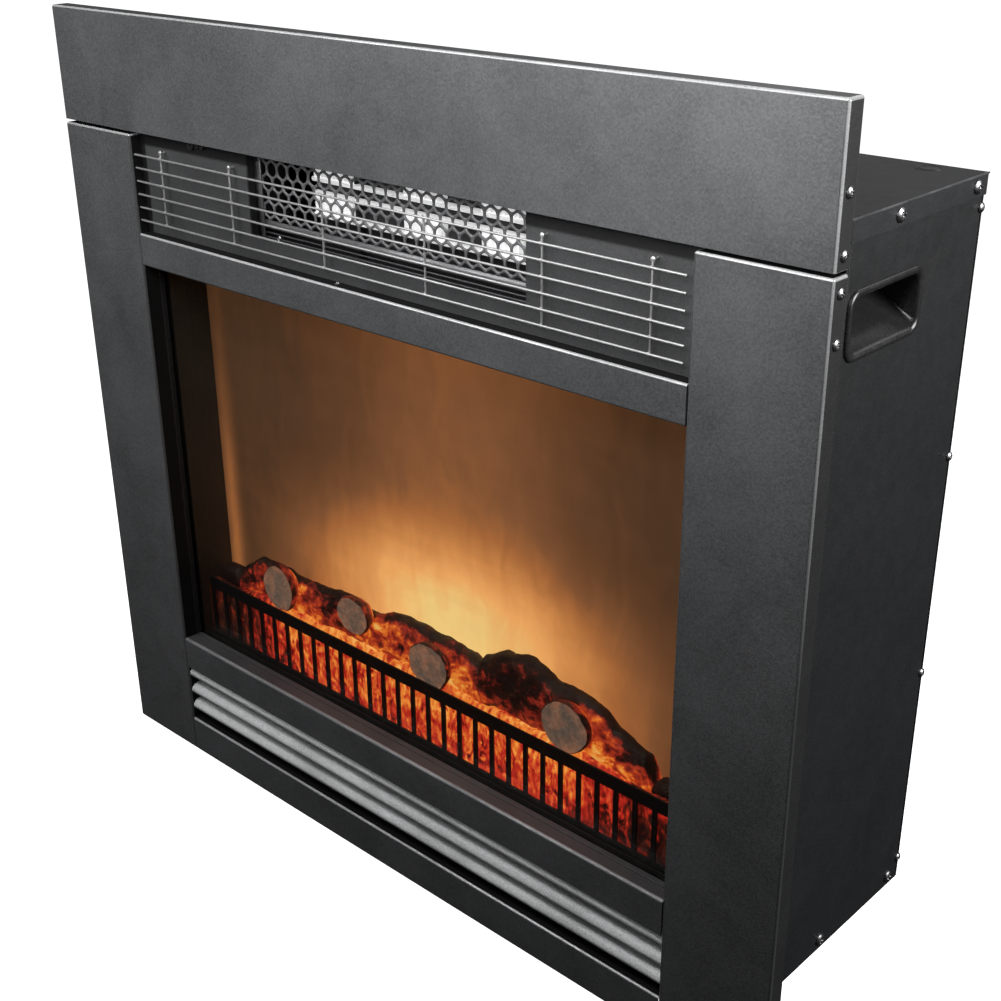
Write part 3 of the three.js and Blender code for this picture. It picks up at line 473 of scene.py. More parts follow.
# ---------------------------------------------------------------- mesh building
def add_piece(name, bm, materials, body="case", replaces=(), sharp=40, closed=True):
    """Makes a piece from a mesh built in millimetres, and rides it on a body. The faces of a
    closed one are turned outwards."""
    if closed:
        bmesh.ops.recalc_face_normals(bm, faces=bm.faces)
    for vertex in bm.verts:
        vertex.co = at(vertex.co)
    mesh = bpy.data.meshes.new(name)
    bm.to_mesh(mesh)
    bm.free()
    mesh.shade_smooth()
    if sharp:
        mesh.set_sharp_from_angle(angle=math.radians(sharp))
    for material in materials:
        mesh.materials.append(material)
    piece = bpy.data.objects.new(name, mesh)
    bpy.context.collection.objects.link(piece)
    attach(piece, body)
    if replaces:
        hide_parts(*replaces)
    return piece


def add_patch(bm, corners, material=0):
    face = bm.faces.new([bm.verts.new(corner) for corner in corners])
    face.material_index = material
    return face


def add_block(bm, x, y, z, material=0):
    corners = [bm.verts.new((a, b, c)) for c in z for b in y for a in x]
    sides = [(0, 2, 3, 1), (4, 5, 7, 6), (0, 1, 5, 4), (2, 6, 7, 3), (0, 4, 6, 2), (1, 3, 7, 5)]
    for side in sides:
        bm.faces.new([corners[i] for i in side]).material_index = material


def circle(count):
    return [2 * math.pi * i / count for i in range(count)]


def rings_between(bm, first, second, material=0):
    """Quads between two loops of vertices with the same count."""
    count = len(first)
    for i in range(count):
        following = (i + 1) % count
        face = bm.faces.new((first[i], first[following], second[following], second[i]))
        face.material_index = material


def close_rings(bm, rings, material=0):
    """A solid through a run of rings, with both its ends closed."""
    for first, second in zip(rings, rings[1:]):
        rings_between(bm, first, second, material)
    bm.faces.new(rings[0]).material_index = material
    bm.faces.new(list(reversed(rings[-1]))).material_index = material


def add_lathe(bm, profile, start, direction, sides=16, material=0):
    """A solid of revolution. The profile holds (radius, distance along) and ends on the axis."""
    turn = direction.to_track_quat("Z", "Y")
    start = Vector(start)

    def point(radius, along, angle):
        return start + turn @ Vector((radius * math.cos(angle), radius * math.sin(angle), along))

    previous = None
    for radius, along in profile:
        if radius == 0:
            ring = [bm.verts.new(point(0, along, 0))]
        else:
            ring = [bm.verts.new(point(radius, along, angle)) for angle in circle(sides)]
        if previous is not None:
            if len(previous) == 1 or len(ring) == 1:
                tip, loop = (previous[0], ring) if len(previous) == 1 else (ring[0], previous)
                for i in range(sides):
                    pair = (loop[i], loop[(i + 1) % sides])
                    corners = (tip, pair[1], pair[0]) if tip is previous[0] else (*pair, tip)
                    bm.faces.new(corners).material_index = material
            else:
                rings_between(bm, previous, ring, material)
        previous = ring


def add_rod(bm, start, end, radius, sides=14, tip=0.6, material=0):
    """A round rod with domed ends."""
    start, end = Vector(start), Vector(end)
    length = (end - start).length
    dome = [(0, 0), (0.6 * radius, 0.12 * tip), (0.9 * radius, 0.45 * tip), (radius, tip)]
    profile = dome + [(r, length - along) for r, along in reversed(dome)]
    add_lathe(bm, profile, start, (end - start).normalized(), sides, material)


def rounded_rectangle(a, b, radius, per_corner=8):
    """Points of a rectangle with round corners, anticlockwise from its lower right corner."""
    (a0, a1), (b0, b1) = a, b
    centres = [(a1 - radius, b0 + radius), (a1 - radius, b1 - radius),
               (a0 + radius, b1 - radius), (a0 + radius, b0 + radius)]
    points = []
    for corner, (ca, cb) in enumerate(centres):
        for i in range(per_corner + 1):
            angle = (corner - 1 + i / per_corner) * math.pi / 2
            points.append((ca + radius * math.cos(angle), cb + radius * math.sin(angle)))
    return points


def rounded_path(points, radius, steps=5):
    """A path of straight runs with its corners turned into arcs."""
    rounded = [Vector(points[0])]
    for before, corner, after in zip(points, points[1:], points[2:]):
        before, corner, after = Vector(before), Vector(corner), Vector(after)
        start = corner + (before - corner).normalized() * radius
        end = corner + (after - corner).normalized() * radius
        for i in range(steps + 1):
            t = i / steps
            rounded.append(start * (1 - t) ** 2 + corner * 2 * t * (1 - t) + end * t ** 2)
    rounded.append(Vector(points[-1]))
    return rounded


def add_modifier(piece, kind, **settings):
    modifier = piece.modifiers.new(kind.lower(), kind)
    for key, value in settings.items():
        setattr(modifier, key, value)


def thicken(piece, sheet, fold=0.0, edge_material=0, rim=0.25):
    """Folds a surface with a rounded edge, gives it a sheet's thickness and breaks its rims."""
    if fold:
        add_modifier(piece, "BEVEL", width=fold * MM, segments=5, limit_method="ANGLE",
                     angle_limit=math.radians(40), material=edge_material)
    add_modifier(piece, "SOLIDIFY", thickness=sheet * MM, offset=-1.0, use_even_offset=True)
    if rim:
        add_modifier(piece, "BEVEL", width=rim * MM, segments=2, limit_method="ANGLE",
                     angle_limit=math.radians(60), material=edge_material)
    add_modifier(piece, "WEIGHTED_NORMAL", weight=100)


def folded_sheet(name, patches, outward, materials, replaces, sheet=1.2, fold=1.6,
                 inside=(), outside=()):
    """Folded sheet metal from its flat outer faces. outward is the side the first one faces. The
    second material is for the folds, the third one for the patches counted in inside, and the
    fourth one for those in outside."""
    bm = bmesh.new()
    for i, corners in enumerate(patches):
        add_patch(bm, corners, 2 if i in inside else 3 if i in outside else 0)
    bmesh.ops.remove_doubles(bm, verts=bm.verts, dist=0.01)
    face_out(bm, outward)
    piece = add_piece(name, bm, materials, replaces=replaces, sharp=None, closed=False)
    thicken(piece, sheet, fold, edge_material=1)
    return piece


def face_out(bm, outward, probe=0):
    """Turns all faces the way that the probed one then looks outward."""
    bmesh.ops.recalc_face_normals(bm, faces=bm.faces)
    bm.faces.ensure_lookup_table()
    bm.normal_update()
    if bm.faces[probe].normal.dot(outward) < 0:
        bmesh.ops.reverse_faces(bm, faces=bm.faces)


def pan(x, z, front, depth, sides):
    """The outer faces of a front panel with edges folded back on the named sides."""
    (x0, x1), (z0, z1) = x, z
    rear = front + depth
    patches = [[(x0, front, z0), (x1, front, z0), (x1, front, z1), (x0, front, z1)]]
    folds = {
        "left": [(x0, front, z0), (x0, front, z1), (x0, rear, z1), (x0, rear, z0)],
        "right": [(x1, front, z0), (x1, rear, z0), (x1, rear, z1), (x1, front, z1)],
        "top": [(x0, front, z1), (x1, front, z1), (x1, rear, z1), (x0, rear, z1)],
        "bottom": [(x0, front, z0), (x0, rear, z0), (x1, rear, z0), (x1, front, z0)],
    }
    return patches + [folds[side] for side in sides]


def swept_sheet(name, path, x, materials, replaces, sheet, outward, bright):
    """A sheet section, given by (y, z) points, swept along X and thickened. bright is the range
    of its strips that take the second material, and those after it take the third one."""
    bm = bmesh.new()
    rows = [[bm.verts.new((end, y, z)) for end in x] for y, z in path]
    for i, ((a, b), (c, d)) in enumerate(zip(rows, rows[1:])):
        face = bm.faces.new((a, b, d, c))
        face.material_index = 0 if i < bright[0] else 1 if i < bright[1] else 2
    face_out(bm, outward)
    piece = add_piece(name, bm, materials, replaces=replaces, sharp=None, closed=False)
    thicken(piece, sheet, rim=0.2)
    return piece


make_camera()
make_stage()

# ---------------------------------------------------------------- places of small pieces
SIDES = (("right", 1), ("left", -1))
SURROUND_SCREW_Z = (568, 537.5, 519, 493)
SURROUND_SCREW_Y = 7.2
SIDE_REAR_SCREW_Z = (535, 389, 243, 101)
SIDE_REAR_SCREW_INSET = 2.2
LOW_REAR_SCREW_X = (-210, -70, 70, 210)
LOW_REAR_SCREW_Z = 92
MESH_SCREW = {"x": -110, "z": 470}
HEADER_SCREW = {"x": -36, "y": 6}
KNOCKOUT = {"x": 303, "y": 141}
STRUT_X = (-220, -141, -46, 48, 143, 221)
OUTLET_HALF_WIDTH = 127

# ---------------------------------------------------------------- finishes
TRIM = (0.060, 0.061, 0.063, 1)
BLACK = (0.0125, 0.013, 0.014, 1)
trim_paint = painted("trim_powder_coat", TRIM, 0.46, grain=1.1, relief=0.12, patchy=0.36)
# The face plate darkens to painted shadow under the top panel's lower edge and beside the left
# column.
plate_paint = painted("plate_powder_coat", shade(TRIM, 0.68), 0.5, grain=1.1, relief=0.12,
                      patchy=0.36, soot_and_painted_shadow=[("Z", 518.5, 520.5), ("X", -243.5, -244.5)])
# Darker copy of the trim paint for the sill's ledge, as painted shade.
sill_ledge_painted_shade = painted("sill_ledge_painted_shade", shade(TRIM, 0.62), 0.5, grain=1.0, relief=0.1, patchy=0.4)
# Fold finishes, with rubbed wear and a painted highlight. The trim's fold paint is a darker copy as
# painted shade, and the case's is a lighter copy of the black as painted light.
trim_edge = edge_wear_and_highlight("trim_edge_wear_and_highlight", shade(TRIM, 0.85), (0.72, 0.72, 0.73, 1), 0.3, 0.66)
sill_edge = edge_wear_and_highlight("sill_edge_wear_and_highlight", shade(TRIM, 1.0), (0.45, 0.45, 0.46, 1), 0.34, 0.4)
case_paint = painted("case_black", BLACK, 0.46, grain=1.2, relief=0.1, patchy=0.3)
# Lighter copy of the case paint for the lid's flanges and knockout, as painted light.
case_painted_light = painted("case_flange_painted_light", shade(BLACK, 1.45), 0.46, grain=1.2, relief=0.1, patchy=0.3)
case_edge = edge_wear_and_highlight("case_edge_wear_and_highlight", shade(BLACK, 1.6), (0.22, 0.22, 0.23, 1), 0.34, 0.25)
# Darker copy of the trim paint for the returns facing right, as painted shade.
trim_painted_side_shade = painted("trim_painted_side_shade", shade(TRIM, 0.24), 0.5, grain=1.1, relief=0.1, patchy=0.3)
# Near-black copy of the trim paint for returns in shade, as painted shade.
trim_painted_shade = painted("trim_painted_shade", (0.006, 0.006, 0.006, 1), 0.7, patchy=0.3, specular=0.12)
ledge_paint = painted("ledge_grey", shade(TRIM, 0.3), 0.5, grain=0.9, relief=0.08, patchy=0.4)
# The slats turn dark where they face down, as painted shade.
slat_paint = painted("slat_grey", (0.52, 0.53, 0.53, 1), 0.5, grain=0.9, relief=0.1,
                     patchy=0.34, underside=0.1)
wire_paint = painted("grille_wire", (0.42, 0.42, 0.42, 1), 0.42, grain=4, relief=0.01,
                     metallic=0.7, patchy=0.1)
mesh_paint = painted("mesh_paint", (0.17, 0.17, 0.175, 1), 0.36, grain=1.2, metallic=0.3)
rail_paint = painted("rail_paint", (0.07, 0.07, 0.075, 1), 0.4, grain=1.2, metallic=0.3)
# The firebox walls' dim grey is partly their own paint and partly a painted reflection of the glass.
firebox_grey = painted("firebox_grey", (0.050, 0.050, 0.046, 1), 0.6, grain=1.2, patchy=0.3)
black_steel = painted("black_steel", (0.008, 0.008, 0.009, 1), 0.6, relief=0.05, patchy=0.3)
gasket_rubber = moulded("gasket_black", (0.006, 0.006, 0.006, 1), 0.85, specular=0.3)
gloss_plastic = moulded("handle_black", (0.021, 0.021, 0.022, 1), 0.28, coat=0.3)
button_plastic = moulded("button_black", (0.02, 0.02, 0.021, 1), 0.18, coat=0.4)
nickel = plated("screw_nickel", (0.34, 0.34, 0.35, 1), 0.3)
bright_sheet = plated("bright_sheet", (0.55, 0.56, 0.57, 1), 0.34, (1, 8, 1))
# The fins and tubes give off a little painted light, so they stay bright deep in the duct.
fin_metal = painted("fin_aluminium", (0.95, 0.95, 0.95, 1), 0.3, relief=0.02, metallic=0.15,
                    patchy=0.08, glow=0.35)
motor_steel = plated("motor_steel", (0.32, 0.33, 0.34, 1), 0.42, (1, 6, 6), 0.4)
white_plastic = moulded("inner_plastic", (0.68, 0.66, 0.60, 1), 0.5)
board_resin = moulded("board_green", (0.03, 0.12, 0.05, 1), 0.45)
lamp_glass = moulded("lamp_clear", (0.85, 0.72, 0.50, 1), 0.12)
flame_screen = glowing_screen()
embers = glowing_embers()
bark = glowing_bark()
sawn = sawn_wood()
pane = tinted_glass()

NODE_FINISHES = [
    (plate_paint, "vent_face_plate"),
    (black_steel, "lower_back_plate front_frame right_glass_clip left_glass_clip firebox_ceiling"),
    (black_steel, "fuel_grate heater_duct blower_wheel"),
    (case_paint, "base_tray rear_panel"),
    (pane, "glass_pane"),
    (gasket_rubber, "glass_gasket"),
    (firebox_grey, "right_firebox_wall left_firebox_wall"),
    (ledge_paint, "hearth_floor"),
    (flame_screen, "flame_screen"),
    (white_plastic, "thermal_cutout flicker_bearing"),
    (bright_sheet, "blower_housing flicker_rod lamp_bracket heat_shield"),
    (motor_steel, "blower_motor flicker_motor"),
    (board_resin, "control_board"),
    (lamp_glass, "right_lamp left_lamp"),
]
for finish, nodes in NODE_FINISHES:
    for node in nodes.split():
        for material_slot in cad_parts[node].material_slots:
            material_slot.material = finish


# ---------------------------------------------------------------- surround
def make_surround():
    # The folded sides of each panel, and those of them that face a dark gap and are painted near
    # black as painted shade.
    panels = {
        "top_panel": (("left", "right", "top"), ()),
        "left_column": (("left", "right", "top", "bottom"), ("right", "top", "bottom")),
        "right_column": (("left", "right", "top", "bottom"), ("left", "top", "bottom")),
        "header_bar": (("top", "bottom"), ("top", "bottom")),
        "bottom_panel": (("top", "bottom"), ("top",)),
    }
    for node, (sides, dark) in panels.items():
        x, (front, rear), z = span(node)
        patches = pan(x, z, front, rear - front, sides)
        # Returns that face a dark gap take the near-black copy, as painted shade.
        inside = [sides.index(side) + 1 for side in dark]
        # The right returns at the outer side take the darker side copy, as painted shade.
        outside = [sides.index("right") + 1] if x[1] > 300 else []
        folded_sheet(f"{node}_sheet", patches, -REAR,
                     [trim_paint, trim_edge, trim_painted_shade, trim_painted_side_shade],
                     [node], inside=inside, outside=outside)


def make_sill():
    x, (front, rear), (low, high) = span("window_sill")
    fall = 1.0
    groove, groove_width, groove_depth = 11.9, 0.9, 1.2

    def ledge(y):
        return high - fall * y / rear

    bend = rounded_path([(front, low), (front, high), (groove, ledge(groove))], 2.4, 6)
    channel = [
        (groove, ledge(groove) - groove_depth),
        (groove + groove_width, ledge(groove + groove_width) - groove_depth),
        (groove + groove_width, ledge(groove + groove_width)),
        (rear, ledge(rear)),
    ]
    path = [tuple(point) for point in bend] + channel
    # The ledge after the fold takes a darker copy of the trim paint, as painted shade.
    swept_sheet("window_sill_sheet", path, x, [trim_paint, sill_edge, sill_ledge_painted_shade],
                ["window_sill"], 1.0, -REAR, bright=(1, len(bend) - 2))


def make_slats():
    steps = 28
    for i in range(3):
        node = f"louvre_slat_{i + 1}"
        (x0, x1), (front, rear), (low, high) = span(node)
        middle, half = (low + high) / 2, (high - low) / 2
        bm = bmesh.new()
        section = []
        for step in range(steps + 1):
            angle = math.pi * (0.5 + step / steps)
            bulge = abs(math.cos(angle)) ** 0.85
            section.append((rear - (rear - front) * bulge, middle + half * math.sin(angle)))
        loops = [[bm.verts.new((x, y, z)) for y, z in section] for x in (x0, x1)]
        close_rings(bm, loops)
        add_piece(f"{node}_section", bm, [slat_paint], replaces=[node])


# ---------------------------------------------------------------- air outlet
def make_grille():
    x, (front, _), (low, high) = span("wire_grille")
    count, radius, wire_inset, strut_behind, stud_rise, weld_behind = 6, 0.78, 1.0, 1.6, 5, 0.6
    wire_y = front + wire_inset
    strut_y = wire_y + strut_behind
    first_wire, top_wire = low + wire_inset, high - stud_rise
    pitch = (top_wire - low - wire_inset) / (count - 1)
    bm = bmesh.new()
    for i in range(count):
        z = first_wire + i * pitch
        add_rod(bm, (x[0], wire_y, z), (x[1], wire_y, z), radius)
    plate_y = span("vent_face_plate")[1][0]
    for strut in STRUT_X:
        over_outlet = abs(strut) < OUTLET_HALF_WIDTH
        top = top_wire if over_outlet else high
        add_rod(bm, (strut, strut_y, low), (strut, strut_y, top), radius * 0.95)
        for i in range(count):
            weld = (strut, wire_y + weld_behind, first_wire + i * pitch)
            add_lathe(bm, [(0, -1.2), (0.9, -0.9), (1.25, 0), (0.9, 0.9), (0, 1.2)], weld, UP, 10)
        if not over_outlet:
            stud = [(0, -0.9), (1.0, -0.8), (1.6, -0.2), (1.6, 0.5), (0.7, 0.9),
                    (0.7, plate_y - strut_y + 0.2), (0, plate_y - strut_y + 0.2)]
            add_lathe(bm, stud, (strut, strut_y, high - radius), REAR, 14)
    add_piece("wire_grille_welded", bm, [wire_paint], replaces=["wire_grille"],
              closed=False)


def make_outlet_mesh():
    """Sheet perforated with staggered round-cornered holes, over a plain foot with two rails."""
    (x0, x1), (front, rear), (z0, z1) = span("outlet_mesh")
    border, foot, slot_height, right_border, head = 7.0, 15.5, 10.0, 4, 3
    pitch, row_height = 10.7, 9.4
    hole = 0.86
    half = pitch / 2
    per_side = 4
    bm = bmesh.new()
    rows = int((z1 - z0) / row_height) + 3
    columns = int((x1 - x0) / pitch) + 3
    stretch = row_height / (1.5 * half / math.cos(math.pi / 6))
    for row in range(rows):
        for column in range(columns):
            cx = x0 + border + (column + 0.5 * (row % 2)) * pitch
            cz = z0 + foot + row * row_height - 2
            outer, inner = [], []
            for i in range(6 * per_side):
                angle = math.pi * i / (3 * per_side)
                off_flat = (angle + math.pi / 6) % (math.pi / 3) - math.pi / 6
                edge = half / math.cos(off_flat)
                rounded = blend(edge, half, 0.7) * hole
                ox, oz = math.cos(angle), math.sin(angle) * stretch
                outer.append(bm.verts.new((cx + edge * ox, front, cz + edge * oz)))
                inner.append(bm.verts.new((cx + rounded * ox, front, cz + rounded * oz)))
            rings_between(bm, outer, inner)
    bmesh.ops.remove_doubles(bm, verts=bm.verts, dist=0.02)
    (wx0, wx1), (wz0, wz1) = (x0 + border, x1 - right_border), (z0 + foot, z1 - head)
    cuts = [((wx0, 0, 0), (-1, 0, 0)), ((wx1, 0, 0), (1, 0, 0)),
            ((0, 0, wz0), (0, 0, -1)), ((0, 0, wz1), (0, 0, 1))]
    for place, normal in cuts:
        geometry = bm.verts[:] + bm.edges[:] + bm.faces[:]
        bmesh.ops.bisect_plane(bm, geom=geometry, dist=1e-4, plane_co=place, plane_no=normal,
                               clear_outer=True)
    slot_top = z0 + slot_height
    strips = [((x0, wx0), (z0, z1)), ((wx1, x1), (z0, z1)), ((wx0, wx1), (slot_top, wz0)),
              ((wx0, wx1), (wz1, z1)), ((wx0, wx1), (z0, z0 + 0.8))]
    for (sx0, sx1), (sz0, sz1) in strips:
        add_patch(bm, [(sx0, front, sz0), (sx1, front, sz0), (sx1, front, sz1),
                       (sx0, front, sz1)])
    face_out(bm, -REAR)
    mesh = add_piece("outlet_mesh_holes", bm, [mesh_paint],
                     replaces=["outlet_mesh"], sharp=None, closed=False)
    add_modifier(mesh, "SOLIDIFY", thickness=(rear - front) * MM, offset=-1.0)

    bm = bmesh.new()
    rail_y, rail_radius = rear - 0.4, 0.55
    for z in (z0 + 3.6, z0 + 6.8):
        add_rod(bm, (wx0, rail_y, z), (wx1, rail_y, z), rail_radius, 10)
    add_piece("outlet_rails", bm, [rail_paint], closed=False)


def make_heater():
    """Bright continuous tubes, with blocks of pleated ribbon above each one and dark gaps."""
    (x0, x1), (front, rear), (z0, z1) = span("heating_element")
    end_width, tube_height, pleat, tube_drop = 8, 3.0, 1.9, 14.5
    row_height = 24.0
    blocks = ((0.0, 38.0), (86.0, 122.0), (154.0, 190.0))
    dark, bright = 1, 0
    bm = bmesh.new()
    add_block(bm, (x0 + 1, x1 - 1), (front + 8, rear), (z0, z1), dark)
    for end in ((x1 - end_width, x1), (x0 + 40, x0 + 42)):
        add_block(bm, end, (front + 2, rear), (z0, z1), dark)
    for row in range(2):
        top = z1 - 0.4 - row * row_height
        for level in (top, top - tube_drop):
            low = max(level - tube_height, z0)
            section = rounded_rectangle((front, front + 6), (low, low + tube_height), 1.2, 3)
            loops = [[bm.verts.new((x, y, z)) for y, z in section] for x in (x0, x1 - 1)]
            close_rings(bm, loops, bright)
        low, high = top - tube_drop + 0.2, top - tube_height - 0.2
        for start, end in blocks:
            count = int((end - start) / pleat)
            ribbon = []
            for i in range(count + 1):
                x = x0 + start + i * pleat
                y = front + (0.4 if i % 2 else 2.6)
                ribbon.append([bm.verts.new(place) for place in (
                    (x, y, low), (x, y, high), (x, y + 5, high), (x, y + 5, low))])
            close_rings(bm, ribbon, bright)
    add_piece("heating_element_fins", bm, [fin_metal, black_steel],
              replaces=["heating_element"], sharp=20)


def make_buttons():
    for node in ("power_button", "flame_button", "heat_button"):
        (x0, x1), (front, rear), (z0, z1) = span(node)
        radius = (x1 - x0) / 2
        edge = 0.25 * radius
        bm = bmesh.new()
        dish = 0.12 * radius
        profile = [(0, dish), (0.6 * radius, 0.5 * dish), (radius - edge, 0),
                   (radius - 0.3 * edge, 0.3 * edge), (radius, edge), (radius, rear - front - 1.5),
                   (radius, rear - front), (0, rear - front)]
        add_lathe(bm, profile, ((x0 + x1) / 2, front, (z0 + z1) / 2), REAR, 28)
        add_piece(f"{node}_cap", bm, [button_plastic], body=node,
                  replaces=[node])


# ---------------------------------------------------------------- case
def hole_face(bm, outer, hole, x):
    """A flat face across X between an outer outline and a hole, both as (y, z) points."""
    edges = []
    for loop in (outer, hole):
        corners = [bm.verts.new((x, y, z)) for y, z in loop]
        for i, corner in enumerate(corners):
            edges.append(bm.edges.new((corner, corners[(i + 1) % len(corners)])))
    bmesh.ops.triangle_fill(bm, use_beauty=True, use_dissolve=False, edges=edges)


def make_side_panels():
    for side, sign in SIDES:
        node = f"{side}_side_panel"
        (x0, x1), (y0, y1), (z0, z1) = span(node)
        _, handle_y, handle_z = span(f"{side}_handle")
        outer_x = x1 if sign > 0 else x0
        flange_x = outer_x - sign * 12
        opening = rounded_rectangle((handle_y[0] + 3, handle_y[1] - 3),
                                    (handle_z[0] + 3, handle_z[1] - 3), 6)
        bm = bmesh.new()
        hole_face(bm, [(y0, z0), (y1, z0), (y1, z1), (y0, z1)], opening, outer_x)
        for y in (y0, y1):
            add_patch(bm, [(outer_x, y, z0), (outer_x, y, z1), (flange_x, y, z1),
                           (flange_x, y, z0)])
        bmesh.ops.remove_doubles(bm, verts=bm.verts, dist=0.01)
        face_out(bm, RIGHT * sign)
        panel = add_piece(f"{node}_sheet", bm, [case_paint, case_edge],
                          replaces=[node], sharp=None, closed=False)
        thicken(panel, 1.0, 1.2, edge_material=1, rim=0)


def make_lid():
    (x0, x1), (y0, y1), (flange_low, high) = span("top_lid")
    rear_tab = 330.0
    flange_rear = y1 - 1.4
    top = [(x0, y0, high), (x1, y0, high), (x1, flange_rear, high), (x1, y1, high),
           (rear_tab, y1, high), (-rear_tab, y1, high), (x0, y1, high), (x0, flange_rear, high)]
    patches = [top]
    for x in (x0, x1):
        patches.append([(x, y0, high), (x, flange_rear, high), (x, flange_rear, flange_low),
                        (x, y0, flange_low)])
    patches.append([(rear_tab, y1, high), (-rear_tab, y1, high), (-rear_tab, y1, flange_low),
                    (rear_tab, y1, flange_low)])
    # The lid's flanges take a lighter copy of the case paint, as painted light.
    folded_sheet("top_lid_sheet", patches, UP, [case_paint, case_edge, case_painted_light],
                 ["top_lid"], 1.0, 0.9, inside=(1, 2, 3))
    # Knockout: a ring and its disc, just proud of the lid, in the lighter copy of the case paint as
    # painted light.
    bm = bmesh.new()
    profile = [(7.5, 0), (7.5, 0.3), (7.0, 0.5), (6.4, 0.3), (6.2, 0.1), (5.6, 0.1), (5.4, 0.3),
               (4.8, 0.45), (0, 0.45)]
    add_lathe(bm, profile, (KNOCKOUT["x"], KNOCKOUT["y"], high), UP, 32)
    add_piece("top_lid_knockout", bm, [case_painted_light])


def make_handles():
    """Grip cups: a raised round rim, and a pocket whose floor rises inwards."""
    for side, sign in SIDES:
        node = f"{side}_handle"
        (x0, x1), y, z = span(node)
        crest = max(abs(x0), abs(x1))
        deep = min(abs(x0), abs(x1)) + 2
        rim = [(0.0, -1.8, 9.0), (0.15, -1.0, 9.0), (0.7, -0.35, 8.5), (1.6, -0.02, 7.8),
               (2.6, -0.05, 7.0), (3.6, -0.5, 6.2), (4.4, -1.4, 5.6), (4.9, -2.8, 5.2)]
        loops = [((y[0] + by, y[1] - by), (z[0] + by, z[1] - by), corner, crest + out)
                 for by, out, corner in rim]
        floor_low, floor_high, ceiling = z[0] + 5.2, z[0] + 27.3, z[1] - 5.3
        wall_y = (y[0] + 5.2, y[1] - 5.2)
        depths = 9
        for i in range(1, depths + 1):
            share = i / depths
            low = blend(floor_low, floor_high, share)
            corner = blend(5.0, 4.4, share)
            loops.append(((wall_y[0] + share, wall_y[1] - share), (low, ceiling), corner,
                          blend(crest - 3, deep, share)))
        bm = bmesh.new()
        rings = []
        for loop_y, loop_z, corner, x in loops:
            points = rounded_rectangle(loop_y, loop_z, corner, 10)
            rings.append([bm.verts.new((sign * x, a, b)) for a, b in points])
        for first, second in zip(rings, rings[1:]):
            rings_between(bm, first, second)
        bm.faces.new(rings[-1])
        face_out(bm, RIGHT * sign, probe=3 * len(rings[0]))
        handle = add_piece(f"{node}_cup", bm, [gloss_plastic], replaces=[node],
                           sharp=50, closed=False)
        add_modifier(handle, "SOLIDIFY", thickness=1.2 * MM, offset=-1.0)


def make_gland():
    (x0, x1), (front, rear), (z0, z1) = span("cord_gland")
    centre_x, centre_z, radius = (x0 + x1) / 2, (z0 + z1) / 2, (x1 - x0) / 2
    length = rear - front
    profile = [(radius - 2.0, 0), (radius - 2.0, length - 2.4), (radius, length - 2.2),
               (radius, length - 0.9), (radius - 0.8, length), (5.2, length), (4.3, length - 0.9),
               (4.0, length - 2), (4.0, 0)]
    bm = bmesh.new()
    rings = []
    for ring_radius, along in profile:
        rings.append([bm.verts.new((centre_x + ring_radius * math.cos(angle), front + along,
                                    centre_z + ring_radius * math.sin(angle)))
                      for angle in circle(32)])
    for first, second in zip(rings, rings[1:] + rings[:1]):
        rings_between(bm, first, second)
    add_piece("cord_gland_bush", bm, [gloss_plastic], replaces=["cord_gland"])


# ---------------------------------------------------------------- screws
def add_screw(name, place, direction, turn, replaces=(), radius=4.0, height=2.3, shank=6.0):
    """Pan-head screw with a cross recess. place is where its head meets the sheet."""
    sides, rings = 48, 11
    arm, reach, recess = 0.17 * radius, 0.62 * radius, 0.5 * height
    quaternion = direction.to_track_quat("Z", "Y")
    spin = Matrix.Rotation(turn, 3, "Z")
    bm = bmesh.new()

    def vertex(r, angle, along):
        local = spin @ Vector((r * math.cos(angle), r * math.sin(angle), along))
        return bm.verts.new(Vector(place) + quaternion @ local)

    def dome(r, angle):
        share = r / radius
        crown = height * (1 - 0.62 * share ** 2.4)
        u, v = abs(r * math.cos(angle)), abs(r * math.sin(angle))
        across, along = min(u, v), max(u, v)
        inside = (1 - smooth_step(across, 0.6 * arm, 1.3 * arm)) * \
                 (1 - smooth_step(along, 0.8 * reach, reach))
        return crown - recess * inside

    centre = vertex(0, 0, dome(0, 0))
    previous = None
    for ring in range(1, rings + 1):
        r = radius * ring / rings
        loop = [vertex(r, angle, dome(r, angle)) for angle in circle(sides)]
        if previous is None:
            for i in range(sides):
                bm.faces.new((centre, loop[i], loop[(i + 1) % sides]))
        else:
            rings_between(bm, previous, loop)
        previous = loop
    for r, along in ((radius, 0.0), (1.8, 0.0), (1.8, -shank)):
        loop = [vertex(r, angle, along) for angle in circle(sides)]
        rings_between(bm, previous, loop)
        previous = loop
    bm.faces.new(previous)
    return add_piece(name, bm, [nickel], replaces=replaces)


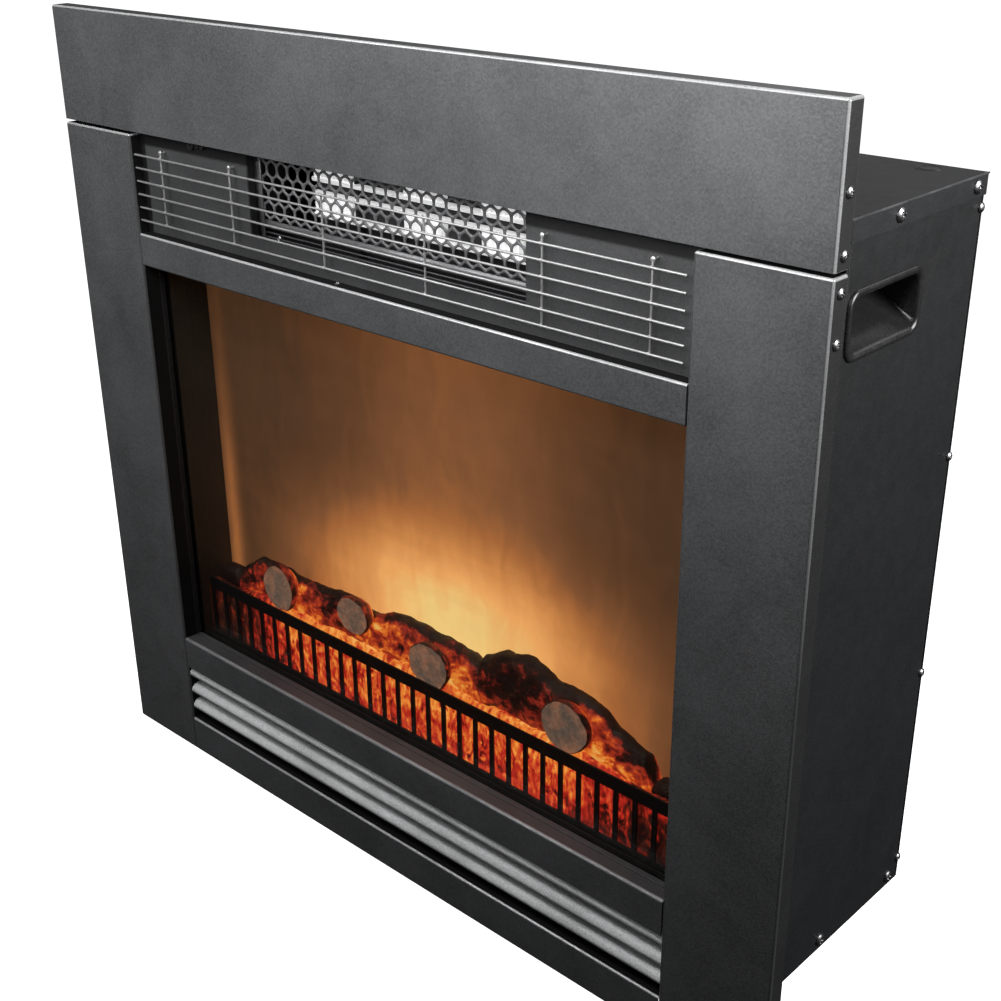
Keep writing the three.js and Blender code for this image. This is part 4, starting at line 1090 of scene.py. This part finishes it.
def make_screws():
    rng = random.Random(5)
    quarter = math.pi / 2
    rear_y = span("rear_panel")[1][1]
    for side, direction in (("right", RIGHT), ("left", -RIGHT)):
        for node in (f"lid_screw_{side}_1", f"lid_screw_{side}_2", f"base_screw_{side}_1",
                     f"base_screw_{side}_2"):
            x, y, z = span(node)
            face = span("top_lid" if node.startswith("lid") else f"{side}_side_panel")[0]
            head_x = face[1] if side == "right" else face[0]
            place = (head_x, (y[0] + y[1]) / 2, (z[0] + z[1]) / 2)
            add_screw(f"{node}_head", place, direction, rng.uniform(0, quarter), [node])
        surround_x = span("top_panel")[0][1 if side == "right" else 0]
        for i, z in enumerate(SURROUND_SCREW_Z):
            add_screw(f"surround_screw_{side}_{i + 1}", (surround_x, SURROUND_SCREW_Y, z), direction,
                      rng.uniform(0, quarter), radius=3.1, height=1.8)
        panel_x = span(f"{side}_side_panel")[0][1 if side == "right" else 0]
        for i, z in enumerate(SIDE_REAR_SCREW_Z):
            add_screw(f"rear_screw_{side}_{i + 1}",
                      (panel_x, rear_y - SIDE_REAR_SCREW_INSET, z), direction,
                      rng.uniform(0, quarter), radius=2.9, height=2.0)
    mesh_front = span("outlet_mesh")[1][0]
    add_screw("outlet_mesh_screw", (MESH_SCREW["x"], mesh_front, MESH_SCREW["z"]), -REAR,
              rng.uniform(0, quarter), radius=2.2, height=1.2, shank=2.0)
    header_top = span("header_bar")[2][1]
    add_screw("header_screw", (HEADER_SCREW["x"], HEADER_SCREW["y"], header_top), UP,
              rng.uniform(0, quarter), radius=1.8, height=1.0, shank=2.0)
    for i, x in enumerate(LOW_REAR_SCREW_X):
        add_screw(f"rear_screw_low_{i + 1}", (x, rear_y, LOW_REAR_SCREW_Z), REAR,
                  rng.uniform(0, quarter), radius=3.8, height=2.1)


# ---------------------------------------------------------------- fire bed
def along_outline(points, x):
    """Height at x of an outline given by (x, z) points, eased between them."""
    for (x0, z0), (x1, z1) in zip(points, points[1:]):
        if x <= x1:
            return blend(z0, z1, smooth_step(x, x0, x1))
    return points[-1][1]


def bark_height(place, seed):
    """Height of the bark at a point, from about 0 to 1."""
    grain = noise.fractal(Vector((place.x / 24 + seed, place.y / 9, place.z / 9)), 0.9, 2.1, 5)
    lump = noise.fractal(Vector((place.x / 15, place.y / 12 + seed, place.z / 12)), 0.9, 2.0, 4)
    return 0.55 + 0.40 * lump + 0.30 * grain


# Middle, half width and half height of each sawn stub's face.
STUBS = [((-154, 180), (17.5, 18.5)), ((-67, 187), (16.5, 14.5)), ((14, 175), (19.5, 17.5)),
         ((143, 179), (20.0, 18.5))]


def stub_light(x, z):
    """Light that shows through the bark beside the stubs, most of it on their right."""
    light = 0.0
    for (stub_x, stub_z), (wide, tall) in STUBS:
        across = (x - stub_x - 1.1 * wide) / (0.75 * wide)
        up = (z - stub_z + 0.2 * tall) / (1.1 * tall)
        light = max(light, math.exp(-across * across - up * up))
    return light


def add_log(name, crest, bottom, y, seed, rough, warmth):
    """A moulded log along X. crest holds (x, z) points along its upper outline, and warmth is
    how much light shows through its foot and its crest, and what its right half adds."""
    x0, x1 = crest[0][0], crest[-1][0]
    station_pitch, around, taper = 1.7, 54, 13
    stations = int((x1 - x0) / station_pitch)
    centre_y, half_y = (y[0] + y[1]) / 2, (y[1] - y[0]) / 2
    bm = bmesh.new()
    layer = bm.verts.layers.float.new("glow")
    rings = []
    for i in range(stations + 1):
        x = blend(x0, x1, i / stations)
        end = min(min(x - x0, x1 - x) / taper, 1.0)
        swell = math.sqrt(max(1 - (1 - end) ** 2, 0.02))
        top = along_outline(crest, x)
        middle, half_z = (top + bottom) / 2, (top - bottom) / 2
        ring = []
        for angle in circle(around):
            out = Vector((0, math.cos(angle), math.sin(angle)))
            base = Vector((x, centre_y + half_y * out.y * swell, middle + half_z * out.z * swell))
            height = bark_height(base, seed)
            vertex = bm.verts.new(base - out * rough * (1 - height) * swell)
            glow = blend(warmth[0], warmth[1], smooth_step(base.z, 160, 178))
            glow += 0.32 * stub_light(base.x, base.z)
            glow += warmth[2] * smooth_step(base.x, x0 + 0.45 * (x1 - x0), x0 + 0.75 * (x1 - x0))
            share = smooth_step(base.z, top - 6, top - 0.8)
            rim = (1 - swell) * 0.35
            vertex[layer] = glow - rim - 0.42 * share - 0.5 * (0.55 - min(height, 1.0))
            ring.append(vertex)
        rings.append(ring)
    close_rings(bm, rings)
    return add_piece(name, bm, [bark], sharp=None)


def add_stub(name, middle, reach, seed, front=28.0):
    """A sawn branch end that faces the glass, on a swelling of bark that runs into its log."""
    around = 60
    profile = [(0.45, 15), (0.72, 11.5), (0.90, 8), (1.00, 5), (1.05, 2.6), (1.04, 1.0),
               (0.99, 0.2), (0.93, 0.6), (0.62, 0.45), (0.32, 0.35)]
    bm = bmesh.new()
    layer = bm.verts.layers.float.new("glow")
    rings = []
    for share, along in profile:
        ring = []
        for angle in circle(around):
            ripple = Vector((1.6 * math.cos(angle) + seed, 1.6 * math.sin(angle), seed))
            wobble = noise.fractal(ripple, 0.9, 2.0, 3)
            ragged = noise.noise(Vector((8 * math.cos(angle), 8 * math.sin(angle), along / 4)))
            bark_share = smooth_step(share, 0.9, 1.0)
            r = share * (1 + 0.07 * wobble + 0.03 * ragged * bark_share)
            vertex = bm.verts.new((middle[0] + reach[0] * r * math.cos(angle), front + along,
                                   middle[1] + reach[1] * r * math.sin(angle)))
            vertex[layer] = 0.16 + 0.05 * along * (0.5 + 0.5 * math.cos(angle))
            ring.append(vertex)
        rings.append(ring)
    for (share, along), first, second in zip(profile[1:], rings, rings[1:]):
        rings_between(bm, first, second, 1 if share < 0.95 and along < 1 else 0)
    bm.faces.new(rings[-1]).material_index = 1
    bm.faces.new(list(reversed(rings[0])))
    return add_piece(name, bm, [bark, sawn], sharp=60)


def make_logs():
    left = add_log(
        "left_log",
        [(-221, 160), (-208, 180), (-191, 191), (-168, 192), (-140, 189), (-116, 190), (-92, 194),
         (-61, 188), (-26, 197), (17, 196), (38, 194), (54, 190), (66, 172)],
        146, (33, 55.5), 3.1, rough=3.8, warmth=(0.50, 0.34, 0.10))
    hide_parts("log_set")
    add_log(
        "right_log",
        [(46, 176), (59, 198), (77, 207), (103, 211), (129, 202), (160, 199), (178, 188),
         (200, 178), (213, 158)],
        144, (33, 55.8), 8.4, rough=3.4, warmth=(0.44, 0.12, 0.14))
    add_log("left_end_log", [(-249, 166), (-238, 170), (-224, 170), (-212, 163)], 150,
            (36, 54), 5.5, rough=2.0, warmth=(-0.1, -0.1, 0.0))
    add_log("right_end_log", [(205, 158), (214, 165), (236, 166), (249, 165)], 148,
            (36, 54), 6.6, rough=2.0, warmth=(-0.1, -0.1, 0.0))
    for i, (middle, reach) in enumerate(STUBS):
        add_stub(f"sawn_stub_{i + 1}", middle, reach, 1.7 * i)


def make_embers():
    """A lumpy bed of embers, whose crest shows between the logs and the grate's rail."""
    (x0, x1), (_, y1), (z0, _) = span("ember_bed")
    front = span("fuel_grate")[1][1] + 1.8
    crest = 163.5
    section = [(front + 1, z0), (front, 118), (front, 140), (front + 0.6, 152), (front + 2, 160),
               (front + 4, crest), (front + 8, crest - 2), (front + 15, crest - 9),
               (y1, crest - 16), (y1, z0)]
    path = rounded_path([(y, z) for y, z in section], 1.0, 3)
    stations = 230
    bm = bmesh.new()
    rings = []
    for i in range(stations + 1):
        x = blend(x0, x1, i / stations)
        ends = smooth_step(abs(x + 8), 165, 215)
        ring = []
        for y, z in path:
            free = smooth_step(z, z0, z0 + 8)
            lump = noise.fractal(Vector((x / 11, y / 10, z / 12)), 0.8, 2.0, 4)
            swell = 2.6 * noise.fractal(Vector((x / 24, 4, 7)), 1, 2, 3) - 7 * ends
            lift = smooth_step(z, 146, crest) * swell
            ring.append(bm.verts.new((x, max(y + free * 1.6 * lump, front - 0.9),
                                      z + free * 1.1 * lump + lift)))
        rings.append(ring)
    close_rings(bm, rings)
    bed = add_piece("ember_bed_lumps", bm, [embers], replaces=["ember_bed"],
                    sharp=None)
    # Daylight drowns the embers' light on the metal in front of them.
    bed.visible_diffuse = False


make_surround()
make_sill()
make_slats()
make_grille()
make_outlet_mesh()
make_heater()
make_buttons()
make_side_panels()
make_lid()
make_handles()
make_gland()
make_screws()
make_logs()
make_embers()
